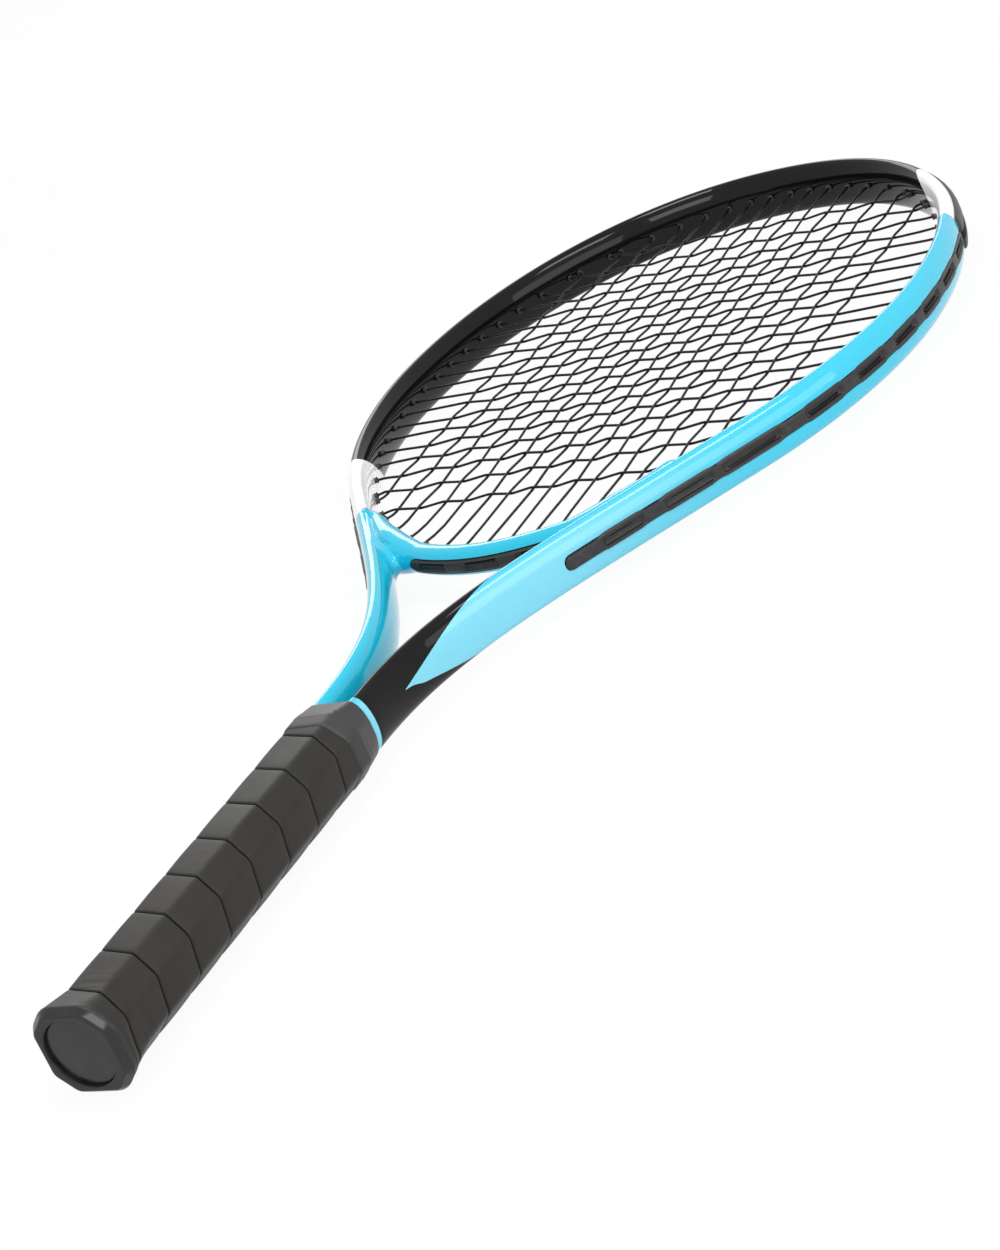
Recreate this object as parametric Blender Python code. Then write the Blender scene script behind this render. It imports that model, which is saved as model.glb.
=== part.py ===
"""Tennis racket: a strung adult racket built from its separate pieces.

Every piece is modelled in the racket's own plan: x across the head, y from the butt to the tip, z out of the
string plane. One empty carries them all and puts the origin under the middle of the racket.
"""

import math
from dataclasses import dataclass

import bmesh
import bpy
import numpy as np
from mathutils import Matrix, Vector

# Overall sizes, in metres.
LENGTH = 0.688
CLEARANCE = 0.0003

# The head's inner wall is two half superellipses that meet at its widest line.
HEAD_HALF_WIDTH = 0.1295
HEAD_UPPER_REACH = 0.1662
HEAD_LOWER_REACH = 0.1765
HEAD_UPPER_SQUARENESS = 2.08
HEAD_LOWER_SQUARENESS = 1.86

# The frame is one bent tube, with a groove in the head's outer wall.
BEAM_WIDTH = 0.0105
BEAM_HEIGHT = 0.024
BEAM_SQUARENESS = 2.0
GROOVE_DEPTH = 0.003
GROOVE_HALF_HEIGHT = 0.0033
GROOVE_RUN_OUT = 0.022
GROOVE_RAMP = 0.0015
GROOVE_DRAFT = 0.0001
LEG_WIDTH = 0.008
LEG_HEIGHT = 0.017
LEG_SIDE_WALL = 0.0028
LEG_BOTTOM = 0.011
SHAFT_X = 0.0086
SHAFT_START = 0.202
TAPER_START = 0.186
TAPER_END = 0.196
JOIN_ANGLE = math.radians(-41.4)
JOIN_PULL = 0.536
SHAFT_PULL = 0.342

# The throat bridge is even behind its grommet strip, and set back from the head's line. From there it grows
# into the shafts and ends inside them: its sizes are given at angles past the strip's end.
BRIDGE_ANGLES = tuple(math.radians(angle) for angle in (0.8, 4.8, 9, 19))
BRIDGE_HALF_WIDTHS = (0.0066, 0.0094, 0.0094, 0.0042)
BRIDGE_HALF_HEIGHTS = (0.0063, 0.0080, 0.0098, 0.0112)
BRIDGE_SET_BACKS = (0.0024, 0.0012, 0.0004, 0)

# String pattern.
STRING_DIAMETER = 0.0013
MAINS_PER_SIDE = 8
THROAT_MAINS_PER_SIDE = 3
FIRST_MAIN = 0.0056
MAIN_STEP = 0.0106
MAIN_STEP_GROWTH = 0.0005
OUTER_MAIN_EXTRA = 0.002
CROSSES = 19
CROSS_RISE = 0.0497
CROSS_STEP = 0.01278
LOW_CROSS_SPREAD = 0.0074
LOW_CROSS_DECAY = 0.5
HIGH_CROSS_SPREAD = 0.0055
HIGH_CROSS_DECAY = 0.45
WEAVE_LIFT = 0.00168
LOOP_OFFSET = 0.0009

# Grommets and their bands.
BARREL_DIAMETER = 0.0044
BORE_DIAMETER = 0.0023
BARREL_STAND = 0.002
DRILL_LEAN = 0.3
BEND_INSET = 0.0032
BAND_THICKNESS = 0.0009
STRIP_END_GAP = 0.0003
BUMPER_LOWEST_CROSS = 15
BUMPER_WALL = 0.0009
BUMPER_FLANGE_HALF_HEIGHT = 0.0078
BUMPER_FLANGE_THICKNESS = 0.0012
BUMPER_FLANGE_EDGE = 0.0008
THROAT_STRIP_RUN_OUT = 0.0055

# Handle: the octagonal pallet and what is wound round it.
PALLET_WIDTH = 0.0272
PALLET_HEIGHT = 0.0244
PALLET_CHAMFER = 0.0063
PALLET_BOTTOM = 0.0062
PALLET_TOP = 0.188
PALLET_REBATE = 0.0019
PALLET_CORNER_RADIUS = 0.0015
GRIP_THICKNESS = 0.0023
GRIP_BOTTOM = 0.0040
GRIP_TOP = 0.183
GRIP_PITCH = 0.0221
GRIP_SEAM = 0.0005
GRIP_PHASE = 1.69
GRIP_EDGE_BEVEL = 0.0006
GRIP_END_WIDTH = 0.003
TAPE_THICKNESS = 0.0005
TAPE_BOTTOM = 0.175
TAPE_TOP = 0.195
TAPE_RIDGE = 0.00012
TAPE_RIDGE_PITCH = 0.0022

# Butt cap, its badge and its staples.
BUTT_WIDTH = 0.0360
BUTT_HEIGHT = 0.0356
BUTT_CHAMFER = 0.0084
BUTT_CORNER_RADIUS = 0.0102
BUTT_WIDEST_Y = 0.0034
BUTT_EDGE_RADIUS = 0.0024
BUTT_FLARE_TOP = 0.0185
BUTT_FLARE_POWER = 1.4
SLEEVE_TOP = 0.0240
BADGE_DIAMETER = 0.0270
BADGE_THICKNESS = 0.0016
BADGE_RECESS = 0.0008
BADGE_RING_GAP = 0.0004
STAPLE_WIRE = 0.0006
STAPLE_BREADTH = 0.0009
STAPLE_CROWN = 0.0032
STAPLE_LEG = 0.006
STAPLE_Y = 0.0205

# Mesh fineness.
SHAFT_STATIONS = 14
HOOP_STATIONS = 26
BRIDGE_STATIONS = 6
STRIP_STEP = 0.009
LOOP_STEP = 0.008
DENSE_STATIONS = 400
HOLE_SIDES = 6
BORE_SIDES = 4
STRING_SIDES = 4
ROUND_CORNER_POINTS = 3
GRIP_CORNER_POINTS = 2
SHAFT_CORNER_TURN = 36

# Sizes that follow from the ones above.
BUMPER_STAND = CLEARANCE + BUMPER_FLANGE_THICKNESS
HEAD_WIDEST_Y = LENGTH - BUMPER_STAND - BEAM_WIDTH - HEAD_UPPER_REACH
HALF_BEAM = BEAM_WIDTH / 2
HALF_HEIGHT = BEAM_HEIGHT / 2
LEG_X = PALLET_WIDTH / 2 - LEG_SIDE_WALL - LEG_WIDTH / 2
STRING_RADIUS = STRING_DIAMETER / 2
BAND_HALF_HEIGHT = GROOVE_HALF_HEIGHT - CLEARANCE
STRING_DEPTH = CLEARANCE + BAND_THICKNESS + CLEARANCE + STRING_RADIUS
HOLE_DIAMETER = BARREL_DIAMETER + 2 * CLEARANCE / math.cos(math.pi / HOLE_SIDES)
OFFSET_CHAMFER_GAIN = 2 - math.sqrt(2)


def clear_scene():
    for item in list(bpy.data.objects):
        bpy.data.objects.remove(item)


def paint(name, colour, roughness, metallic=0.0, coat=0.0):
    material = bpy.data.materials.new(name)
    material.use_nodes = True
    shader = material.node_tree.nodes["Principled BSDF"]
    shader.inputs["Base Color"].default_value = (*colour, 1)
    shader.inputs["Roughness"].default_value = roughness
    shader.inputs["Metallic"].default_value = metallic
    shader.inputs["Coat Weight"].default_value = coat
    return material


def object_from(name, bm, material=None):
    """Turns a bmesh into a named object on the racket's empty."""
    bmesh.ops.recalc_face_normals(bm, faces=bm.faces)
    mesh = bpy.data.meshes.new(name)
    bm.to_mesh(mesh)
    bm.free()
    item = bpy.data.objects.new(name, mesh)
    bpy.context.scene.collection.objects.link(item)
    item.parent = racket
    if material:
        mesh.materials.append(material)
    mesh.shade_smooth()
    mesh.set_sharp_from_angle(angle=math.radians(35))
    return item


def as_cutter(item):
    item.hide_render = True
    item.display_type = "WIRE"
    return item


def boolean(item, other, operation):
    modifier = item.modifiers.new(f"{operation.lower()} {other.name}", "BOOLEAN")
    modifier.operation = operation
    modifier.solver = "EXACT"
    modifier.object = other


def add_loft(bm, loops):
    """Skins a row of loops with the same number of points and closes both ends."""
    rings = [[bm.verts.new(point) for point in loop] for loop in loops]
    count = len(rings[0])
    for first, second in zip(rings, rings[1:]):
        for i in range(count):
            j = (i + 1) % count
            bm.faces.new((first[i], first[j], second[j], second[i]))
    bm.faces.new(rings[0][::-1])
    bm.faces.new(rings[-1])


def loft(name, loops, material=None):
    bm = bmesh.new()
    add_loft(bm, loops)
    return object_from(name, bm, material)


def smooth_step(value):
    value = min(max(value, 0.0), 1.0)
    return value * value * (3 - 2 * value)


def head_wall(angle):
    """Point of the head's inner wall at an angle from +x, and the wall's outward normal, both in plan."""
    upper = math.sin(angle) >= 0
    power = HEAD_UPPER_SQUARENESS if upper else HEAD_LOWER_SQUARENESS
    reach = HEAD_UPPER_REACH if upper else HEAD_LOWER_REACH
    across = math.copysign(abs(math.cos(angle)) ** (2 / power), math.cos(angle))
    along = math.copysign(abs(math.sin(angle)) ** (2 / power), math.sin(angle))
    point = np.array([HEAD_HALF_WIDTH * across, HEAD_WIDEST_Y + reach * along])
    normal = np.array(
        [
            math.copysign(abs(across) ** (power - 1), across) / HEAD_HALF_WIDTH,
            math.copysign(abs(along) ** (power - 1), along) / reach,
        ]
    )
    return point, normal / np.linalg.norm(normal)


def shaft_point(share):
    """Point of the right shaft's centre line, from the handle's top at 0 to the head at 1."""
    wall, normal = head_wall(JOIN_ANGLE)
    join = wall + normal * HALF_BEAM
    start = np.array([SHAFT_X, SHAFT_START])
    span = join[1] - start[1]
    down = np.array([normal[1], -normal[0]])
    start_pull = start + np.array([0, SHAFT_PULL * span])
    join_pull = join + JOIN_PULL * span * down
    rest = 1 - share
    return (
        rest**3 * start
        + 3 * share * rest**2 * start_pull
        + 3 * share**2 * rest * join_pull
        + share**3 * join
    )


def centre_line(shaft_count, hoop_count):
    """Centre line of the frame's right half, from the leg's bottom to the tip, as points in plan."""
    leg = [np.array([LEG_X, LEG_BOTTOM]), np.array([LEG_X, TAPER_START])]
    for share in (0.35, 0.7):
        y = TAPER_START + share * (SHAFT_START - TAPER_START)
        leg.append(np.array([LEG_X + (SHAFT_X - LEG_X) * smooth_step(share), y]))
    shaft = [shaft_point(i / shaft_count) for i in range(shaft_count)]
    hoop = []
    for i in range(hoop_count + 1):
        wall, normal = head_wall(JOIN_ANGLE + (math.pi / 2 - JOIN_ANGLE) * i / hoop_count)
        hoop.append(wall + normal * HALF_BEAM)
    return np.array(leg + shaft + hoop)


def mirrored(points):
    return points * np.array([-1, 1])


def outward_normals(points):
    """Plan normals on the left of a path that runs up the left side, over the tip and down the right."""
    tangents = np.gradient(points, axis=0)
    tangents /= np.linalg.norm(tangents, axis=1)[:, None]
    return np.stack([-tangents[:, 1], tangents[:, 0]], 1)


class RightHalf:
    """The frame's right half as a dense line that can be read by its length from the leg's bottom."""

    def __init__(self):
        self.points = centre_line(DENSE_STATIONS, DENSE_STATIONS)
        steps = np.linalg.norm(np.diff(self.points, axis=0), axis=1)
        self.lengths = np.concatenate([[0], np.cumsum(steps)])
        self.normals = outward_normals(self.points[::-1])[::-1]

    def at(self, length):
        point = [np.interp(length, self.lengths, self.points[:, i]) for i in (0, 1)]
        normal = np.array([np.interp(length, self.lengths, self.normals[:, i]) for i in (0, 1)])
        return np.array(point), normal / np.linalg.norm(normal)

    def nearest(self, point):
        i = np.linalg.norm(self.points - point, axis=1).argmin()
        return self.points[i], self.lengths[i]

    def offset(self, point):
        """How far outwards of the centre line a point lies."""
        i = np.linalg.norm(self.points - point, axis=1).argmin()
        return float((point - self.points[i]) @ self.normals[i])


@dataclass
class Hole:
    """One string hole, in plan: where the string bends inside the head, its axis and its groove floor."""

    bend: np.ndarray
    axis: np.ndarray
    floor: float
    length: float
    strip: str

    def at(self, depth, z=0.0):
        """Point on the axis, at a depth outwards from the groove's floor."""
        x, y = self.bend + self.axis * (self.floor + depth)
        return Vector((x, y, z))

    def mirror(self):
        flip = np.array([-1, 1])
        return Hole(self.bend * flip, self.axis * flip, self.floor, self.length, self.strip)


def frame_hole(angle, lean=0.0):
    """Hole through the tube from the inner wall at this angle: the shortest way out, leaning to the butt."""
    wall, _ = head_wall(angle)
    centre, _ = half.nearest(wall)
    way = centre - wall
    axis = way / np.linalg.norm(way) * (1 - lean) + np.array([0, -lean])
    axis /= np.linalg.norm(axis)
    low, high = 0.0, 10 * BEAM_WIDTH
    for _ in range(30):
        distance = (low + high) / 2
        if half.offset(wall + axis * distance) < HALF_BEAM - GROOVE_DEPTH:
            low = distance
        else:
            high = distance
    _, length = half.nearest(wall + axis * distance)
    return Hole(wall - axis * BEND_INSET, axis, BEND_INSET + distance, length, "frame")


def leaning_hole(angle):
    return frame_hole(angle, DRILL_LEAN)


def bridge_hole(angle):
    """Hole through the throat bridge, square to the inner wall at this angle."""
    wall, normal = head_wall(angle)
    half_width, _, set_back = bridge_sizes(angle)
    wall = wall + normal * set_back
    floor = BEND_INSET + 2 * half_width - GROOVE_DEPTH
    return Hole(wall - normal * BEND_INSET, normal, floor, angle, "throat")


def solve_angle(place, low, high, target):
    """Angle between two limits at which a coordinate that depends on it has the wanted value."""
    rising = place(high) > place(low)
    for _ in range(40):
        middle = (low + high) / 2
        if (place(middle) < target) == rising:
            low = middle
        else:
            high = middle
    return (low + high) / 2


def bridge_sizes(angle):
    """Half width, half height and set back of the throat bridge at an angle of the head's wall."""
    past = abs(angle + math.pi / 2) - throat_half_angle
    tables = (BRIDGE_HALF_WIDTHS, BRIDGE_HALF_HEIGHTS, BRIDGE_SET_BACKS)
    return [float(np.interp(past, BRIDGE_ANGLES, table)) for table in tables]


def main_places():
    places = [FIRST_MAIN]
    for i in range(MAINS_PER_SIDE - 1):
        places.append(places[-1] + MAIN_STEP + MAIN_STEP_GROWTH * i)
    places[-1] += OUTER_MAIN_EXTRA
    return places


def cross_places():
    place = HEAD_WIDEST_Y - HEAD_LOWER_REACH + CROSS_RISE
    places = [place]
    for i in range(CROSSES - 1):
        low = LOW_CROSS_SPREAD * LOW_CROSS_DECAY**i
        high = HIGH_CROSS_SPREAD * HIGH_CROSS_DECAY ** (CROSSES - 2 - i)
        place += CROSS_STEP + low + high
        places.append(place)
    return places


def right_holes():
    """Holes of the right half: the mains' upper and lower ends, and the crosses' ends."""
    quarter = math.pi / 2
    upper = []
    lower = []
    for i, x in enumerate(main_places()):
        upper.append(frame_hole(solve_angle(lambda angle: frame_hole(angle).bend[0], 0, quarter, x)))
        make = bridge_hole if i < THROAT_MAINS_PER_SIDE else leaning_hole
        lower.append(make(solve_angle(lambda angle: make(angle).bend[0], -quarter, 0, x)))
    crosses = []
    for y in cross_places():
        crosses.append(frame_hole(solve_angle(lambda angle: frame_hole(angle).bend[1], -quarter, quarter, y)))
    return upper, lower, crosses


def tube_profile(half_width, half_height, groove):
    """Section of the frame as (outward, up) points, with the groove's mouth on the outward side."""
    power = 2 / BEAM_SQUARENESS
    lip = half_width * (1 - (GROOVE_HALF_HEIGHT / half_height) ** BEAM_SQUARENESS) ** (1 / BEAM_SQUARENESS)
    floor = half_width - groove if groove else lip
    profile = [
        (lip, -GROOVE_HALF_HEIGHT),
        (floor, -GROOVE_HALF_HEIGHT + GROOVE_DRAFT),
        (floor, GROOVE_HALF_HEIGHT - GROOVE_DRAFT),
        (lip, GROOVE_HALF_HEIGHT),
    ]
    for degrees in (48, 72, 90, 112, 138, 165, 195, 222, 248, 270, 288, 312):
        angle = math.radians(degrees)
        out = math.copysign(abs(math.cos(angle)) ** power, math.cos(angle)) * half_width
        up = math.copysign(abs(math.sin(angle)) ** power, math.sin(angle)) * half_height
        profile.append((out, up))
    return profile


def beam_halves(y):
    """Half width and half height of the tube at a height: slim in the handle, full above it."""
    grown = smooth_step((y - TAPER_START) / (TAPER_END - TAPER_START))
    half_width = (LEG_WIDTH + (BEAM_WIDTH - LEG_WIDTH) * grown) / 2
    return half_width, (LEG_HEIGHT + (BEAM_HEIGHT - LEG_HEIGHT) * grown) / 2


def section(point, normal, profile):
    """Stands a profile of (outward, up) points on a plan point."""
    return [Vector((*(point + normal * out), up)) for out, up in profile]


def frame_lengths():
    """Stations of the frame's right half, with one at each end of the groove's ramp."""
    ramp = [groove_start - GROOVE_RAMP, groove_start]
    lengths = []
    for point in centre_line(SHAFT_STATIONS, HOOP_STATIONS):
        _, length = half.nearest(point)
        if min(abs(length - end) for end in ramp) > STRIP_STEP / 3:
            lengths.append(length)
    return sorted(lengths + ramp)


def frame_loops(inflate, groove_depth):
    """Loops of the whole bent tube, from the left leg over the tip to the right leg."""
    right = []
    left = []
    for length in frame_lengths():
        point, normal = half.at(length)
        if length == 0:
            point[1] -= inflate
        if length == half.lengths[-1]:
            normal = np.array([0, 1])
        half_width, half_height = beam_halves(point[1])
        depth = groove_depth if length >= groove_start else 0
        profile = tube_profile(half_width + inflate, half_height + inflate, depth)
        right.append(section(point, normal, profile))
        left.append(section(mirrored(point), mirrored(normal), profile))
    return left + right[-2::-1]


def prism_along(bm, start, end, diameter, sides):
    """Prism between two points of the string plane, with a flat side up."""
    axis = (end - start).normalized()
    side = Vector((0, 0, 1)).cross(axis)
    turn = Matrix((side, Vector((0, 0, 1)), axis)).transposed().to_4x4()
    spin = Matrix.Rotation(math.pi / sides, 4, "Z")
    place = Matrix.Translation((start + end) / 2) @ turn @ spin
    bmesh.ops.create_cone(
        bm,
        cap_ends=True,
        segments=sides,
        radius1=diameter / 2,
        radius2=diameter / 2,
        depth=(end - start).length,
        matrix=place,
    )


def prisms(name, holes, first_depth, last_depth, diameter, sides):
    """One prism along each hole, between two depths. A first depth of None starts at the barrel's tip."""
    bm = bmesh.new()
    for hole in holes:
        tip = BEND_INSET - BARREL_STAND - hole.floor
        start = hole.at(tip if first_depth is None else tip + first_depth)
        prism_along(bm, start, hole.at(last_depth), diameter, sides)
    return as_cutter(object_from(name, bm))


def make_frame(material):
    frame = loft("frame_hairpin", frame_loops(0, GROOVE_DEPTH), material)
    boolean(frame, hole_cutter, "DIFFERENCE")
    return frame


def bridge_loops():
    """Loops of the bridge: grooved behind the grommet strip, whole from there to its ends."""
    grooved = np.linspace(0, throat_half_angle, BRIDGE_STATIONS)
    whole = throat_half_angle + np.linspace(BRIDGE_ANGLES[0], BRIDGE_ANGLES[-1], BRIDGE_STATIONS)
    right = [(away, GROOVE_DEPTH) for away in grooved] + [(away, 0) for away in whole]
    left = [(-away, groove) for away, groove in right[:0:-1]]
    loops = []
    for away, groove in left + right:
        angle = away - math.pi / 2
        wall, normal = head_wall(angle)
        half_width, half_height, set_back = bridge_sizes(angle)
        profile = tube_profile(half_width, half_height, groove)
        loops.append(section(wall + normal * (half_width + set_back), normal, profile))
    return loops


def make_bridge(material):
    bridge = loft("throat_bridge", bridge_loops(), material)
    boolean(bridge, frame_clearance, "DIFFERENCE")
    boolean(bridge, hole_cutter, "DIFFERENCE")
    return bridge


def band_profile(floor):
    """Section of a grommet band that lies on a groove floor at this distance outwards."""
    low = floor + CLEARANCE
    high = low + BAND_THICKNESS
    reach = BAND_HALF_HEIGHT - CLEARANCE
    return [(low, -reach), (high, -reach), (high, reach), (low, reach)]


def bumper_profile():
    """Section of the head guard: a channel in the groove with flanges over the outer wall."""

    def wall_at(up):
        return HALF_BEAM * (1 - (up / HALF_HEIGHT) ** BEAM_SQUARENESS) ** (1 / BEAM_SQUARENESS)

    floor = HALF_BEAM - GROOVE_DEPTH + CLEARANCE
    outer = HALF_BEAM + BUMPER_STAND
    reach = BAND_HALF_HEIGHT - CLEARANCE
    mouth = reach - BUMPER_WALL
    under_lip = wall_at(GROOVE_HALF_HEIGHT) + CLEARANCE * 1.5
    under_edge = wall_at(BUMPER_FLANGE_HALF_HEIGHT) + CLEARANCE * 1.5
    upper = [
        (floor, reach),
        (under_lip, reach),
        (under_edge, BUMPER_FLANGE_HALF_HEIGHT),
        (under_edge + BUMPER_FLANGE_EDGE, BUMPER_FLANGE_HALF_HEIGHT),
        (outer, GROOVE_HALF_HEIGHT),
        (outer, mouth),
        (floor + BAND_THICKNESS, mouth),
    ]
    lower = [(out, -up) for out, up in reversed(upper)]
    return upper + lower


def add_grommets(item, holes):
    """Joins a barrel to the band at each hole and bores them all for the string."""
    in_band = CLEARANCE + BAND_THICKNESS / 2
    barrels = prisms(f"{item.name} barrels", holes, None, in_band, BARREL_DIAMETER, HOLE_SIDES)
    past = STRING_DEPTH + STRING_DIAMETER
    bores = prisms(f"{item.name} bores", holes, -BARREL_STAND, past, BORE_DIAMETER * math.sqrt(2), BORE_SIDES)
    boolean(item, barrels, "UNION")
    boolean(item, bores, "DIFFERENCE")


def strip_stations(low, high):
    count = math.ceil((high - low) / STRIP_STEP)
    return [half.at(low + (high - low) * i / count) for i in range(count + 1)]


def make_side_strip(name, side, holes, material):
    profile = band_profile(HALF_BEAM - GROOVE_DEPTH)
    flip = np.array([side, 1])
    loops = []
    for point, normal in strip_stations(groove_start + STRIP_END_GAP, bumper_start - STRIP_END_GAP):
        loops.append(section(point * flip, normal * flip, profile))
    strip = loft(name, loops, material)
    add_grommets(strip, holes)
    return strip


def make_bumper(holes, material):
    right = strip_stations(bumper_start + STRIP_END_GAP, half.lengths[-1])[:-1]
    left = [(mirrored(point), mirrored(normal)) for point, normal in right]
    tip = (half.points[-1], np.array([0, 1]))
    profile = bumper_profile()
    loops = [section(point, normal, profile) for point, normal in [*left, tip, *right[::-1]]]
    bumper = loft("bumper_guard", loops, material)
    add_grommets(bumper, holes)
    return bumper


def make_throat_strip(holes, material):
    reach = throat_half_angle - throat_end_gap
    loops = []
    for angle in np.linspace(-reach, reach, 2 * BRIDGE_STATIONS) - math.pi / 2:
        wall, normal = head_wall(angle)
        half_width, _, set_back = bridge_sizes(angle)
        profile = band_profile(set_back + 2 * half_width - GROOVE_DEPTH)
        loops.append(section(wall, normal, profile))
    strip = loft("throat_grommet_strip", loops, material)
    add_grommets(strip, holes)
    return strip


def sweep_string(name, path, material):
    """Tube of constant section along a bent path: each ring is the last one slid to the next mitre plane."""
    path = [Vector(point) for point in path]
    ways = [(b - a).normalized() for a, b in zip(path, path[1:])]
    side = Vector((0, 0, 1)).cross(ways[0]).normalized()
    up = ways[0].cross(side)
    ring = []
    for i in range(STRING_SIDES):
        angle = math.tau * i / STRING_SIDES
        ring.append(path[0] + STRING_RADIUS * (math.cos(angle) * up + math.sin(angle) * side))
    loops = [ring]
    for i in range(1, len(path)):
        way = ways[i - 1]
        mitre = (way + ways[i]).normalized() if i < len(ways) else way
        ring = [p + way * ((path[i] - p).dot(mitre) / way.dot(mitre)) for p in ring]
        loops.append(ring)
    return loft(name, loops, material)


def groove_run(first, second, z):
    """Points of a string that lies in the groove between two holes of the same side of the frame."""
    if first.strip == "throat":
        return throat_run(first, second, z)
    side = math.copysign(1, first.bend[0])
    count = math.ceil(abs(second.length - first.length) / LOOP_STEP)
    points = []
    for i in range(1, count):
        point, normal = half.at(first.length + (second.length - first.length) * i / count)
        x, y = point + normal * (HALF_BEAM - GROOVE_DEPTH + STRING_DEPTH)
        points.append(Vector((side * x, y, z)))
    return points


def throat_run(first, second, z):
    points = []
    count = math.ceil(abs(second.bend[0] - first.bend[0]) / LOOP_STEP)
    for i in range(1, count):
        x = first.bend[0] + (second.bend[0] - first.bend[0]) * i / count
        angle = -math.pi / 2 + math.asin(x / HEAD_HALF_WIDTH)
        wall, normal = head_wall(angle)
        half_width, _, set_back = bridge_sizes(angle)
        x, y = wall + normal * (set_back + 2 * half_width - GROOVE_DEPTH + STRING_DEPTH)
        points.append(Vector((x, y, z)))
    return points


def through(hole, z):
    """Points of a string from the head's side of a hole out to the groove."""
    inside_band = CLEARANCE + BAND_THICKNESS / 2
    return [hole.at(-hole.floor), hole.at(inside_band), hole.at(STRING_DEPTH, z)]


def main_path(upper, lower):
    """The mains in order from left to right, turning in the grooves at the tip and at the throat."""
    path = []
    ends = [lower, upper]
    for i in range(len(upper)):
        start, end = ends[i % 2][i], ends[1 - i % 2][i]
        path += through(start, LOOP_OFFSET)[::-1] + through(end, LOOP_OFFSET)
        if i + 1 < len(upper):
            path += groove_run(end, ends[1 - i % 2][i + 1], LOOP_OFFSET)
    return path


def cross_path(left, right, mains, ends):
    """The crosses in order from the throat to the tip, over one main and under the next."""
    path = []
    for i, (west, east) in enumerate(zip(left, right)):
        start, end = (west, east) if i % 2 == 0 else (east, west)
        y = west.bend[1]
        weave = []
        for j, x in enumerate(mains):
            if ends[j][0] < y < ends[j][1] and abs(x) < east.bend[0]:
                weave.append(Vector((x, y, WEAVE_LIFT if (i + j) % 2 else -WEAVE_LIFT)))
        path += through(start, -LOOP_OFFSET)[::-1]
        path += weave if i % 2 == 0 else weave[::-1]
        path += through(end, -LOOP_OFFSET)
        if i + 1 < len(left):
            after = right[i + 1] if i % 2 == 0 else left[i + 1]
            path += groove_run(end, after, -LOOP_OFFSET)
    return path


def least_gap(path, apart):
    """Least gap of a string to itself, between points that lie further apart along it than a given length."""
    points = []
    for a, b in zip(path, path[1:]):
        count = max(1, round((b - a).length / LOOP_STEP * 4))
        points += [a.lerp(b, i / count) for i in range(count)]
    points = np.array(points)
    lengths = np.concatenate([[0], np.cumsum(np.linalg.norm(np.diff(points, axis=0), axis=1))])
    least = math.inf
    for point, length in zip(points, lengths):
        far = np.abs(lengths - length) > apart
        least = min(least, np.linalg.norm(points[far] - point, axis=1).min())
    return least - STRING_DIAMETER


def rounded_octagon(width, height, chamfer, radius, per_corner):
    """Corner arcs of an octagon with 45 degree chamfers, counterclockwise in (x, z) from the right side."""
    x, z = width / 2, height / 2
    corners = [(x, z - chamfer), (x - chamfer, z), (-x + chamfer, z), (-x, z - chamfer)]
    corners += [(-a, -b) for a, b in corners]
    points = []
    for i, (cx, cz) in enumerate(corners):
        middle = math.radians(45 * i + 22.5)
        back = radius / math.cos(math.radians(22.5))
        for j in range(per_corner):
            angle = middle + math.radians(45) * (j / (per_corner - 1) - 0.5)
            points.append(
                (
                    cx - back * math.cos(middle) + radius * math.cos(angle),
                    cz - back * math.sin(middle) + radius * math.sin(angle),
                )
            )
    return points


def handle_outline(offset, per_corner=ROUND_CORNER_POINTS):
    """Outline round the pallet, at an offset from its faces."""
    return rounded_octagon(
        PALLET_WIDTH + 2 * offset,
        PALLET_HEIGHT + 2 * offset,
        PALLET_CHAMFER + OFFSET_CHAMFER_GAIN * offset,
        max(PALLET_CORNER_RADIUS + offset, PALLET_CORNER_RADIUS / 4),
        per_corner,
    )


def at_height(outline, y):
    return [Vector((x, y, z)) for x, z in outline]


def make_pallet(name, sign, material):
    inner = handle_outline(-PALLET_REBATE, GRIP_CORNER_POINTS)
    outer = handle_outline(0, GRIP_CORNER_POINTS)
    shoulder = SLEEVE_TOP + CLEARANCE
    loops = [
        at_height(inner, PALLET_BOTTOM),
        at_height(inner, shoulder),
        at_height(outer, shoulder),
        at_height(outer, PALLET_TOP),
    ]
    pallet = loft(name, loops, material)
    boolean(pallet, frame_clearance, "DIFFERENCE")
    boolean(pallet, staple_clearance, "DIFFERENCE")
    bm = bmesh.new()
    bmesh.ops.create_cube(bm, size=1)
    depth = 2 * PALLET_HEIGHT
    middle = (PALLET_BOTTOM + PALLET_TOP) / 2
    place = Matrix.Translation((0, middle, sign * (CLEARANCE / 2 - depth / 2)))
    size = Matrix.Diagonal((depth, 2 * PALLET_TOP, depth, 1))
    bmesh.ops.transform(bm, matrix=place @ size, verts=bm.verts)
    boolean(pallet, as_cutter(object_from(f"{name} split", bm)), "DIFFERENCE")
    return pallet


def butt_outline(shrink, per_corner=ROUND_CORNER_POINTS):
    return rounded_octagon(
        BUTT_WIDTH - 2 * shrink,
        BUTT_HEIGHT - 2 * shrink,
        BUTT_CHAMFER - OFFSET_CHAMFER_GAIN * shrink,
        BUTT_CORNER_RADIUS - shrink,
        per_corner,
    )


def blended(first, second, share):
    return [(a + (c - a) * share, b + (d - b) * share) for (a, b), (c, d) in zip(first, second)]


def flared_outline(y, depth, per_corner=ROUND_CORNER_POINTS):
    """Outline of the wrapped handle at a height, at a depth under the grip's surface: wider at the butt."""
    neck = handle_outline(CLEARANCE + GRIP_THICKNESS - depth, per_corner)
    share = (BUTT_FLARE_TOP - y) / (BUTT_FLARE_TOP - BUTT_WIDEST_Y)
    return blended(neck, butt_outline(depth, per_corner), min(max(share, 0), 1) ** BUTT_FLARE_POWER)


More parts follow.
